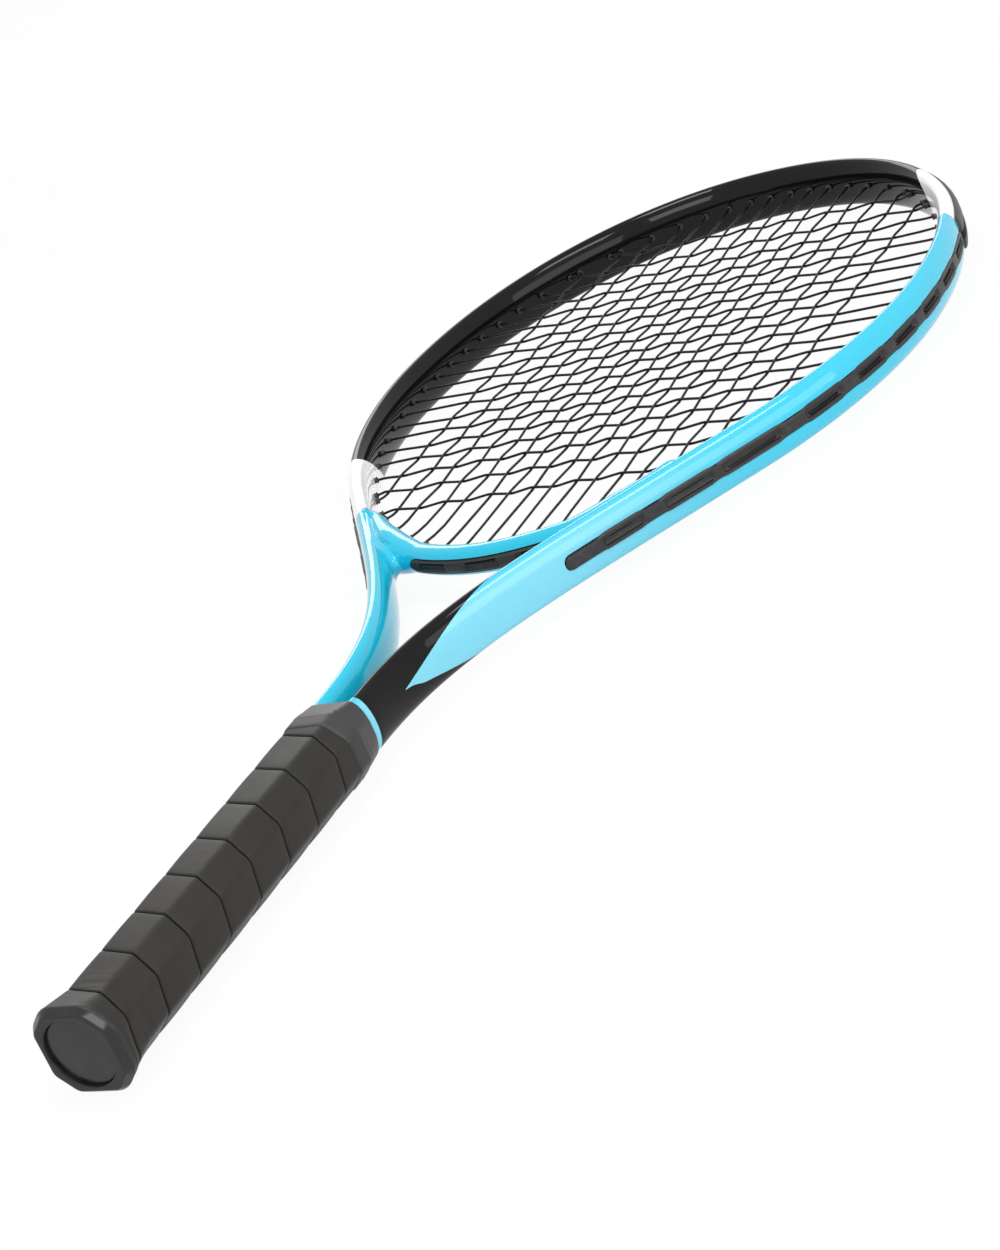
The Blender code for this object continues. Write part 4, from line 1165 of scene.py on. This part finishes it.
def groove_points(first, second, z):
    """Points of a string in the groove, between two holes on one side of the racket."""
    if first.throat:
        count = math.ceil(abs(second.bend[0] - first.bend[0]) / GROOVE_STEP)
        x = np.linspace(first.bend[0], second.bend[0], count + 1)[1:-1]
        angle = np.arcsin(x / HEAD_HALF_WIDTH) - QUARTER
        wall, normal = head_wall(angle)
        half_width, _, set_back = bridge_sizes(angle + QUARTER)
        flat = wall + normal * (set_back + 2 * half_width - GROOVE_DEPTH + STRING_DEPTH)[:, None]
    else:
        count = math.ceil(abs(second.run - first.run) / GROOVE_STEP)
        centre, normal = line_at(np.linspace(first.run, second.run, count + 1)[1:-1])
        flat = (centre + normal * (HALF_BEAM - GROOVE_DEPTH + STRING_DEPTH)) * (np.sign(first.bend[0]), 1)
    return [np.array([x, y, z]) for x, y in flat]


def through(hole, z):
    """Points of a string from the head's side of a hole out to the groove."""
    return [hole.at(-hole.floor), hole.at(CLEARANCE + BAND_THICKNESS / 2), hole.at(STRING_DEPTH, z)]


print("a main's end takes", len(through(upper_right[0], LOOP_OFFSET)), "points")

# %% Lay the paths
CROSS_LIFT = 0.00064
MAIN_LIFT = 0.00056
CROSSING_REACH = 0.001
upper_holes = [hole.mirror() for hole in upper_right[::-1]] + upper_right
lower_holes = [hole.mirror() for hole in lower_right[::-1]] + lower_right
cross_left = [hole.mirror() for hole in cross_right]


def crossings(main, cross):
    """True where a cross meets a main inside the head."""
    y = cross_right[cross].bend[1]
    low, high = lower_holes[main].bend[1], upper_holes[main].bend[1]
    return low < y < high and abs(upper_holes[main].bend[0]) < cross_right[cross].bend[0]


def main_bed(i):
    """Points of a main at its crossings, which alternate over and under."""
    points = []
    for j, hole in enumerate(cross_right):
        if crossings(i, j):
            z = -MAIN_LIFT if (i + j) % 2 else MAIN_LIFT
            ys = hole.bend[1] - CROSSING_REACH, hole.bend[1] + CROSSING_REACH
            points += [np.array([upper_holes[i].bend[0], y, z]) for y in ys]
    return points


def cross_bed(j):
    """Points of a cross at its crossings, on the other side of each main."""
    points = []
    for i, hole in enumerate(upper_holes):
        if crossings(i, j):
            z = CROSS_LIFT if (i + j) % 2 else -CROSS_LIFT
            xs = hole.bend[0] - CROSSING_REACH, hole.bend[0] + CROSSING_REACH
            points += [np.array([x, cross_right[j].bend[1], z]) for x in xs]
    return points


def strung(starts, ends, bed, z):
    """Path of one string that goes to and fro between two rows of holes."""
    path = []
    for i, (start, end) in enumerate(zip(starts, ends)):
        run = through(start, z)[::-1] + bed(i) + through(end, z)
        path += run if i % 2 == 0 else run[::-1]
        if i + 1 < len(ends):
            holes = ends if i % 2 == 0 else starts
            path += groove_points(holes[i], holes[i + 1], z)
    return soften(soften(np.array(path)))


paths = {
    "main_string": strung(lower_holes, upper_holes, main_bed, LOOP_OFFSET),
    "cross_string": strung(cross_left, cross_right, cross_bed, -LOOP_OFFSET),
}
for name, path in paths.items():
    print(name, round(float(lengths_along(path)[-1]), 2), "m long")

# %% Draw the strings along the paths
STRING_SIZES = {"Diameter": 0.00120, "Sides": 8}


def string_tree():
    tree, given, end = new_tree("string", STRING_SIZES)
    line = add_node(tree, "GeometryNodeMeshToCurve", None, {"Mesh": given["Geometry"]})
    ring = {"Resolution": given["Sides"], "Radius": scaled(tree, given["Diameter"], 0.5)}
    ring = add_node(tree, "GeometryNodeCurvePrimitiveCircle", None, ring)
    tube = {"Curve": line.outputs[0], "Profile Curve": ring.outputs[0], "Fill Caps": True}
    tube = add_node(tree, "GeometryNodeCurveToMesh", None, tube)
    smooth = add_node(tree, "GeometryNodeSetShadeSmooth", None, {"Geometry": tube.outputs[0]})
    close_tree(tree, smooth.outputs[0], string_black, end)
    return tree


drawn_string = string_tree()
for name, path in paths.items():
    line = bpy.data.meshes.new(name)
    line.from_pydata((path + PLAN_TO_FRAME).tolist(), [(i, i + 1) for i in range(len(path) - 1)], [])
    string_mesh = grown_mesh("line", line, drawn_string, **STRING_SIZES)
    string = finished_object(f"strung_{name.split('_')[0]}", string_mesh, string_black, 60)
    stand_in(string, "string", name)

# %% [markdown]
# ## Handle sizes and outlines
#
# The handle is an octagon with two wide faces, two tall sides and four bevels, and everything on it is that octagon
# at some offset: the grip lies on the pallet, the tape on the grip, and the cap's flare is a larger octagon that
# blends into the neck. An outline's points keep their order, so two outlines can be mixed point by point.

# %% Sizes of the handle
PALLET_WIDTH = 0.0272
PALLET_HEIGHT = 0.0244
PALLET_CHAMFER = 0.0063
PALLET_REBATE = 0.0019
PALLET_CORNER_RADIUS = 0.0015
PALLET_BOTTOM = 0.0062
GRIP_THICKNESS = 0.0023
GRIP_BOTTOM = 0.0040
GRIP_TOP = 0.183
GRIP_PITCH = 0.0221
GRIP_SEAM = 0.0003
GRIP_PHASE = 1.69
GRIP_END_WIDTH = 0.003
BUTT_WIDTH = 0.0360
BUTT_CHAMFER = 0.0084
BUTT_CORNER_RADIUS = 0.0102
BUTT_WIDEST_Y = 0.0034
BUTT_FLARE_TOP = 0.0185
BUTT_FLARE_POWER = 1.4
SLEEVE_TOP = 0.0240
CHAMFER_GAIN = 2 - math.sqrt(2)
print("grip", round(1000 * (PALLET_WIDTH + 2 * (CLEARANCE + GRIP_THICKNESS)), 1), "mm wide")

# %% Outlines with eight corners
ARC_POINTS = 6
FLAT_POINTS = 6
CORNER_TURN = 45
SHAFT_TURN = 32


def with_flats(arcs):
    """Closed outline through eight corner arcs, with points along the flats between them."""
    outline = []
    for arc, after in zip(arcs, arcs[1:] + arcs[:1]):
        shares = np.linspace(0, 1, FLAT_POINTS + 2)[1:-1, None]
        outline += [arc, arc[-1] + (after[0] - arc[-1]) * shares]
    return np.concatenate(outline)


def octagon(width, height, chamfer, radius):
    """Outline of a round cornered octagon, counterclockwise in (x, z) from the right side."""
    x, z = width / 2, height / 2
    corners = [(x, z - chamfer), (x - chamfer, z), (-x + chamfer, z), (-x, z - chamfer)]
    corners += [(-a, -b) for a, b in corners]
    arcs = []
    for i, (cx, cz) in enumerate(corners):
        middle = math.radians(CORNER_TURN * (i + 0.5))
        back = radius / math.cos(math.radians(CORNER_TURN / 2))
        turn = middle + math.radians(CORNER_TURN) * (np.linspace(0, 1, ARC_POINTS) - 0.5)
        centre = np.array([cx - back * math.cos(middle), cz - back * math.sin(middle)])
        arcs.append(centre + radius * np.stack([np.cos(turn), np.sin(turn)], 1))
    return with_flats(arcs)


def level(outline, y):
    """The points of an outline at a height in plan."""
    return np.stack([outline[:, 0], np.full(len(outline), y), outline[:, 1]], 1)


print("outlines have", 8 * (ARC_POINTS + FLAT_POINTS), "points")


# %% Outlines of the handle
def handle_outline(offset):
    width, height = PALLET_WIDTH + 2 * offset, PALLET_HEIGHT + 2 * offset
    return octagon(width, height, PALLET_CHAMFER + CHAMFER_GAIN * offset, PALLET_CORNER_RADIUS + offset)


def shafts_outline(y, offset):
    """Outline of a band pulled tight round both shafts at a height, at an offset from them."""
    half_width, half_height = beam_sizes(y)
    centre = leg_x(y)
    arcs = []
    for i in range(8):
        turn = np.radians(CORNER_TURN * (i + 0.5) + SHAFT_TURN * (np.linspace(0, 1, ARC_POINTS) - 0.5))
        across, up = np.cos(turn), np.sin(turn)
        reach = np.hypot(half_width * across, half_height * up)
        x = np.sign(across) * centre + half_width**2 * across / reach + offset * across
        arcs.append(np.stack([x, half_height**2 * up / reach + offset * up], 1))
    return with_flats(arcs)


def butt_outline(shrink, radius=BUTT_CORNER_RADIUS):
    width, height = BUTT_WIDTH - 2 * shrink, BUTT_HEIGHT - 2 * shrink
    return octagon(width, height, BUTT_CHAMFER - CHAMFER_GAIN * shrink, radius - shrink)


def flare_share(y):
    return np.clip((BUTT_FLARE_TOP - y) / (BUTT_FLARE_TOP - BUTT_WIDEST_Y), 0, 1) ** BUTT_FLARE_POWER


def wrapped_outline(y, depth):
    """Outline of the wrapped handle at a height, at a depth under the grip's surface."""
    neck = handle_outline(CLEARANCE + GRIP_THICKNESS - depth)
    return neck + (butt_outline(depth) - neck) * flare_share(y)


print("flare at half its height", round(float(flare_share((BUTT_FLARE_TOP + BUTT_WIDEST_Y) / 2)), 3))

# %% [markdown]
# ## Grip finish
#
# The grip is a soft polyurethane band with a foam back. New, it is charcoal with a faint tacky sheen and a pebbled
# skin. Near the edges of its turns the colour is painted darker, as painted shade in the seams. Over the flare it is
# drawn into fine folds. The band's points carry their distance from the nearest edge, so that the painted shade in the
# seams follows the winding, and the folds are a noise stretched round the handle.

# %% Make the grip finish
FOLDS_LOW, FOLDS_HIGH = 0.012, 0.0245


def make_grip_finish():
    material, shader, start, place = new_finish("grip_band", Specular_IOR_Level=0.22)
    edge = start.attribute("edge")
    # painted shade: the colour darkens near each band edge, where shade falls in the seams between turns
    painted_seam_shade = 1 - edge.over(0.0004, 0.0004)
    cloud = start.noise(place, 38.0, 4.0)
    pebble = start.noise(place, 1500.0, 3.0)
    crease = start.noise(place, 190.0, 3.0)
    stretched = start.node("VectorMath", {"operation": "MULTIPLY"}, {0: place, 1: (0.16, 1.0, 0.16)})
    bend = height_band(place.part(1), FOLDS_LOW, FOLDS_HIGH, 0.004, 0.003)
    fold = start.noise(stretched, 420.0) * bend
    colour = start.mix(cloud, (0.0118, 0.0108, 0.0092, 1), (0.0236, 0.0217, 0.0184, 1))
    colour = start.mix(painted_seam_shade * 0.75, colour, grey(0.008))
    connect(
        shader,
        Base_Color=colour,
        Roughness=cloud.spread(0.38, 0.56),
        Normal=bump(pebble + crease * 2.0 + fold * 6.0, 0.00005),
    )
    return material


grip_band = make_grip_finish()
print("grip finish", len(grip_band.node_tree.nodes), "nodes")

# %% [markdown]
# ## The wound grip
#
# One long band is wound from the butt to the top, edge to edge, so its seams climb the handle as a helix. Starting at
# the butt it covers the cap's flare, and its first and last turns are cut level. It could be one tube with grooves,
# but the seams would then lack the soft, rounded edges of a real band, so the band itself is lofted round the octagon.

# %% Wind the grip
SOFT_EDGE = 0.0010
CROWN = 0.00015
RIM_TOP = GRIP_BOTTOM - 0.0002
MOST_TURNS = 12
SLOPE_STEP = 0.001
neck_skin = handle_outline(CLEARANCE + GRIP_THICKNESS)
neck_slope = (handle_outline(CLEARANCE + GRIP_THICKNESS - SLOPE_STEP) - neck_skin) / SLOPE_STEP
butt_skin = butt_outline(0)
butt_slope = (butt_outline(SLOPE_STEP) - butt_skin) / SLOPE_STEP
ring_count = len(neck_skin)
side_lengths = np.linalg.norm(np.roll(neck_skin, -1, 0) - neck_skin, axis=1)
turn_shares = np.concatenate([[0], np.cumsum(side_lengths)[:-1]]) / side_lengths.sum()


def band_section(low, high, cut):
    """Heights and depths of the band's section: soft edges, or a cut lower one, a slight crown, a flat back."""
    soft = min(SOFT_EDGE, 0.3 * (high - low))
    into = soft * np.array([0, 0.06, 0.2, 0.45, 0.75, 1.0])
    fall = soft - np.sqrt(soft**2 - (soft - into) ** 2)
    share = np.linspace(0, 1, 9)[1:-1]
    top = low + soft + (high - low - 2 * soft) * share
    rise = -CROWN * (1 - (2 * share - 1) ** 2)
    y = np.concatenate([[low], low + into, top, (high - into)[::-1], [high, (low + high) / 2]])
    low_fall = fall * 0 if cut else fall
    depth = np.concatenate([[GRIP_THICKNESS], low_fall, rise, fall[::-1], [GRIP_THICKNESS, GRIP_THICKNESS]])
    return y, depth


grip_rows = []
grip_edges = []
for i in range(ring_count * MOST_TURNS):
    j = i % ring_count
    edge_y = GRIP_BOTTOM + GRIP_PITCH * (i // ring_count + turn_shares[j] - GRIP_PHASE)
    low = max(RIM_TOP, edge_y)
    high = min(GRIP_TOP, edge_y + GRIP_PITCH - GRIP_SEAM)
    if high - low < GRIP_END_WIDTH:
        continue
    y, depth = band_section(low, high, low == RIM_TOP)
    share = flare_share(y)[:, None]
    neck = neck_skin[j] + neck_slope[j] * depth[:, None]
    butt = butt_skin[j] + butt_slope[j] * depth[:, None]
    flat = neck + (butt - neck) * share
    grip_rows.append(np.stack([flat[:, 0], y, flat[:, 1]], 1))
    distance = high - y if low == RIM_TOP else np.minimum(y - low, high - y)
    distance[depth > GRIP_THICKNESS / 2] = 0
    grip_edges.append(distance)
grip_mesh = skin_mesh("grip", grip_rows, edge=np.array(grip_edges))
grip = finished_object("wound_grip", grip_mesh, grip_band, 60)
stand_in(grip, "grip", "grip_tape")
print(round(len(grip_rows) / ring_count, 2), "turns")

# %% [markdown]
# ## Finishing tape
#
# A short sleeve of stretched vinyl tape holds the grip's upper end. Stretching leaves fine lines round it, and the
# layers end one above another as low ridges at its lower edge. The sleeve is a ring of outlines at several offsets,
# and its lines are a bump that runs with the height.

# %% Make the tape and its finish
TAPE_THICKNESS = 0.0003
TAPE_BOTTOM = 0.175
TAPE_TOP = 0.195
TAPE_SHOULDER = GRIP_TOP + CLEARANCE
OVER_GRIP = GRIP_THICKNESS + CLEARANCE + 0.0001
LINE_RATE, LINE_WANDER = 5200.0, 9.0


def make_tape_finish():
    material, shader, start, place = new_finish("tape_vinyl", Specular_IOR_Level=0.4)
    cloud = start.noise(place, 70.0, 3.0)
    wave = place.part(1) * LINE_RATE + cloud * LINE_WANDER
    line = wave.sum("SINE", wave)
    grain = start.noise(place, 1600.0)
    connect(
        shader,
        Base_Color=start.mix(cloud, grey(0.016), grey(0.032)),
        Roughness=cloud.spread(0.38, 0.52),
        Normal=bump(line * 0.5 + grain, 0.00002),
    )
    return material


tape_vinyl = make_tape_finish()
print("tape finish", len(tape_vinyl.node_tree.nodes), "nodes")

# %% Loft the collar
RIDGES = (0.1862, 0.1830, 0.1799, 0.1771)


def collar_outline(y, stand):
    """Outline of the collar: the octagon over the grip, drawn in to the shafts above it."""
    drawn = np.clip((y - TAPE_SHOULDER) / (TAPE_TOP - TAPE_SHOULDER), 0, 1)
    over_shafts = shafts_outline(TAPE_TOP, 2 * CLEARANCE + stand)
    over_grip = handle_outline(OVER_GRIP + stand)
    return level(over_grip + (over_shafts - over_grip) * drawn, y)


collar_rows = [(TAPE_BOTTOM, 0.0), (TAPE_SHOULDER, 0.0), (TAPE_TOP, 0.0), (TAPE_TOP, 0.0002)]
collar_rows += [(TAPE_TOP - 0.0001, 0.00027), (TAPE_TOP - 0.0004, TAPE_THICKNESS)]
collar_rows += [(y, TAPE_THICKNESS) for y in np.linspace(0.1935, 0.1872, 8)]
for ridge in RIDGES:
    collar_rows += [(ridge, TAPE_THICKNESS), (ridge - 0.0002, TAPE_THICKNESS + 0.00014)]
    collar_rows.append((ridge - 0.0015, TAPE_THICKNESS + 0.00008))
collar_rows += [(TAPE_BOTTOM + 0.0002, TAPE_THICKNESS - 0.0001), (TAPE_BOTTOM, 0.0001)]
tape_loops = [collar_outline(y, stand) for y, stand in collar_rows]
tape = finished_object("grip_collar", skin_mesh("tape", tape_loops, ring=True), tape_vinyl, 30)
stand_in(tape, "tape", "finishing_tape")

# %% [markdown]
# ## Butt cap and its disc
#
# The cap is moulded in hard black rubber and pushed over the pallet's end, and a plain disc closes the hole in its
# face. Its rim has a flat bevel with crisp corners, which catches a bar of light. The spark-eroded mould gives both a
# fine matt grain, and the rim, which scrapes on the ground, is polished a little paler.

# %% Make the rubber
RIM_LOW, RIM_HIGH = 0.0003, 0.0022


def make_rubber():
    material, shader, start, place = new_finish("butt_rubber", Specular_IOR_Level=0.4)
    cloud = start.noise(place, 55.0, 4.0)
    grain = start.noise(place, 2200.0, 3.0)
    rim = height_band(place.part(1), RIM_LOW, RIM_HIGH, 0.0002, 0.0003)
    wear = rim * start.noise(place, 160.0, 5.0).over(0.5, 0.15)
    colour = start.mix(cloud, (0.0065, 0.0063, 0.0059, 1), (0.013, 0.0126, 0.0118, 1))
    connect(
        shader,
        Base_Color=start.mix(wear * 0.2, colour, grey(0.035)),
        Roughness=cloud.spread(0.44, 0.52) - rim * 0.25,
        Normal=bump(grain, 0.00002),
    )
    return material


butt_rubber = make_rubber()
print("rubber", len(butt_rubber.node_tree.nodes), "nodes")

# %% Loft the cap
BADGE_DIAMETER = 0.0270
BADGE_BACK = 0.0024
BADGE_RING_GAP = 0.0004
BEVEL_REACH = 1.85
CRISPNESS = 2.2
rim_top = RIM_TOP - 0.00003
under_grip = GRIP_THICKNESS + CLEARANCE
face_angles = np.arctan2(butt_skin[:, 1], butt_skin[:, 0])


def disc_outline(radius):
    return radius * np.stack([np.cos(face_angles), np.sin(face_angles)], 1)


sleeve = handle_outline(CLEARANCE - PALLET_REBATE + 0.0003)
cap_loops = [level(sleeve, PALLET_BOTTOM - CLEARANCE), level(sleeve, SLEEVE_TOP)]
for y in np.concatenate([[SLEEVE_TOP], np.linspace(BUTT_FLARE_TOP, rim_top, 8)]):
    cap_loops.append(level(wrapped_outline(y, under_grip), y))
cap_loops.append(level(wrapped_outline(rim_top, 0.0002), rim_top))
cap_loops.append(level(wrapped_outline(rim_top, 0.0), rim_top))
edge_steps = [(0.0, 3.3), (0.02, 2.9), (0.1, 2.55), (0.25, 2.3), (0.45, 2.05)]
face_steps = [(BEVEL_REACH, 0.48), (2.05, 0.28), (2.3, 0.12), (2.6, 0.03), (2.9, 0.0)]
for shrink, y in edge_steps + face_steps:
    crisp = min(shrink, BEVEL_REACH) * CRISPNESS
    cap_loops.append(level(butt_outline(shrink / 1000, BUTT_CORNER_RADIUS - crisp / 1000), y / 1000))
hole_radius = BADGE_DIAMETER / 2 + BADGE_RING_GAP
for radius, y in ((0.0005, 0.0), (0.00015, 0.00012), (0.0, 0.0005), (0.0, BADGE_BACK + CLEARANCE)):
    cap_loops.append(level(disc_outline(hole_radius + radius), y))
cap = finished_object("end_cap", skin_mesh("cap", cap_loops), butt_rubber, 35)
stand_in(cap, "butt_rubber", "butt_cap")

# %% Loft the disc
disc_steps = [(1.02, 2.4), (1.02, 1.62), (1.01, 1.53), (0.99, 1.5)]
disc_steps += [(0.8, 1.47), (0.5, 1.43), (0.25, 1.4), (0.02, 1.39)]
disc_loops = [level(disc_outline(BADGE_DIAMETER / 2 * share), depth / 1000) for share, depth in disc_steps]
disc = finished_object("end_cap_disc", skin_mesh("disc", disc_loops), butt_rubber, 35)
stand_in(disc, "butt_rubber", "butt_cap_badge")

# %% [markdown]
# ## What the grip hides
#
# Under the grip two moulded foam halves clamp the tube's legs, and two steel staples pin the cap to them. Their CAD
# shapes are right as they are, so they stay and get finishes: a cellular foam, and galvanised wire.


# %% Finish the foam halves and the staples
def make_foam():
    material, shader, start, place = new_finish("pallet_foam")
    cells = start.node("TexVoronoi", None, {"Vector": place, "Scale": 900.0}, "Distance")
    cloud = start.noise(place, 45.0, 3.0)
    connect(
        shader,
        Base_Color=start.mix(cloud, (0.32, 0.30, 0.26, 1), (0.42, 0.40, 0.36, 1)),
        Roughness=cloud.spread(0.8, 0.95),
        Normal=bump(cells, 0.00015),
    )
    return material


def make_steel():
    material, shader, start, place = new_finish("staple_steel", Metallic=1.0)
    spangle = start.noise(place, 700.0, 4.0)
    connect(
        shader,
        Base_Color=start.mix(spangle, grey(0.45), grey(0.66)),
        Roughness=spangle.spread(0.25, 0.45),
        Normal=bump(spangle, 0.00001),
    )
    return material


hidden = {"pallet_front": make_foam(), "butt_staple_front": make_steel()}
hidden["pallet_back"] = hidden["pallet_front"]
hidden["butt_staple_back"] = hidden["butt_staple_front"]
for node, material in hidden.items():
    for carried in cad_nodes[node].material_slots:
        carried.material = material
    print(node, "finished in", material.name)

# %% [markdown]
# ## Floor, light and background
#
# The background is white without more light on the racket. Rays from the camera, and those that a mirror or glass
# sends on, see a white floor and a white surround, while all other rays meet a matt floor, which keeps the shadow,
# and a dimmer surround. Five soft boxes shape the racket: one behind for the far rims, one above for the crowns, one
# to the right above for the blue side, a long one at the side for the walls and the grip, and one in front for the
# butt.

# %% Stage: the floor
FLOOR_REACH = 8
FLOOR_GREY = 0.86
FLOOR_ROUGHNESS = 0.9
FLOOR_GLOW = 0.94
BACKGROUND_RAYS = ("Is Camera Ray", "Is Glossy Ray", "Is Transmission Ray")


def sees_background(start):
    """1 for the rays that see the plain background, 0 for the rest."""
    direct, mirrored, through_glass = (start.node("LightPath", out=kind) for kind in BACKGROUND_RAYS)
    return direct.sum("MAXIMUM", direct, mirrored.sum("MAXIMUM", mirrored, through_glass))


floor_mesh = bpy.data.meshes.new("floor")
corners = [(-1, -1), (1, -1), (1, 1), (-1, 1)]
floor_mesh.from_pydata([(x * FLOOR_REACH, y * FLOOR_REACH, 0) for x, y in corners], [], [(0, 1, 2, 3)])
floor = add_object("floor", floor_mesh)
floor_looks = {"Base_Color": grey(FLOOR_GREY), "Roughness": FLOOR_ROUGHNESS}
floor_paint, shader, start, _ = new_finish("floor_paint", **floor_looks)
tree = floor_paint.node_tree
plain = Tone(tree, shader.outputs[0])
glow = start.node("Emission", None, {"Color": grey(1.0), "Strength": 1.0})
blend = start.node("MixShader", None, {0: sees_background(start) * FLOOR_GLOW, 1: plain, 2: glow})
tree.links.new(blend.socket, tree.nodes["Material Output"].inputs[0])
floor_mesh.materials.append(floor_paint)
print("floor", 2 * FLOOR_REACH, "m wide")

# %% Stage: the surround
SURROUND_STRENGTH = 0.40
world = bpy.data.worlds.new("surround")
world.use_nodes = True
bpy.context.scene.world = world
tree = world.node_tree
start = Tone(tree)
surround = tree.nodes["Background"]
surround.inputs[0].default_value = grey(1.0)
surround.inputs[1].default_value = SURROUND_STRENGTH
dim = Tone(tree, surround.outputs[0])
bright = start.node("Background", None, {0: grey(1.0), 1: 1.0})
sky = start.node("MixShader", None, {0: sees_background(start), 1: dim, 2: bright})
tree.links.new(sky.socket, tree.nodes["World Output"].inputs[0])
print("surround lights at", SURROUND_STRENGTH)


# %% Stage: the soft boxes
def soft_box(name, place, target, width, height, power):
    light = bpy.data.lights.new(name, "AREA")
    light.shape = "RECTANGLE"
    light.size = width
    light.size_y = height
    light.energy = power
    lamp = add_object(name, light)
    lamp.location = place
    lamp.rotation_mode = "QUATERNION"
    lamp.rotation_quaternion = (Vector(target) - Vector(place)).to_track_quat("-Z", "Y")
    return lamp


boxes = [
    soft_box("back_box", (-1.0, 1.5, 0.75), (0, 0.05, 0), 0.9, 0.5, 5.5),
    soft_box("crown_box", (0.05, -0.05, 1.5), (0, 0.1, 0), 0.55, 0.45, 9.5),
    soft_box("key_box", (1.24, 0, 1.3), (0.09, -0.04, 0), 0.9, 0.32, 8.5),
    soft_box("side_box", (1.7, -0.2, 0.35), (0, 0, 0), 1.6, 0.6, 6.5),
    soft_box("front_box", (0.65, -1.45, 0.98), (0, -0.3, 0), 1.1, 0.6, 10),
]
print(len(boxes), "soft boxes,", sum(box.data.energy for box in boxes), "W in all")
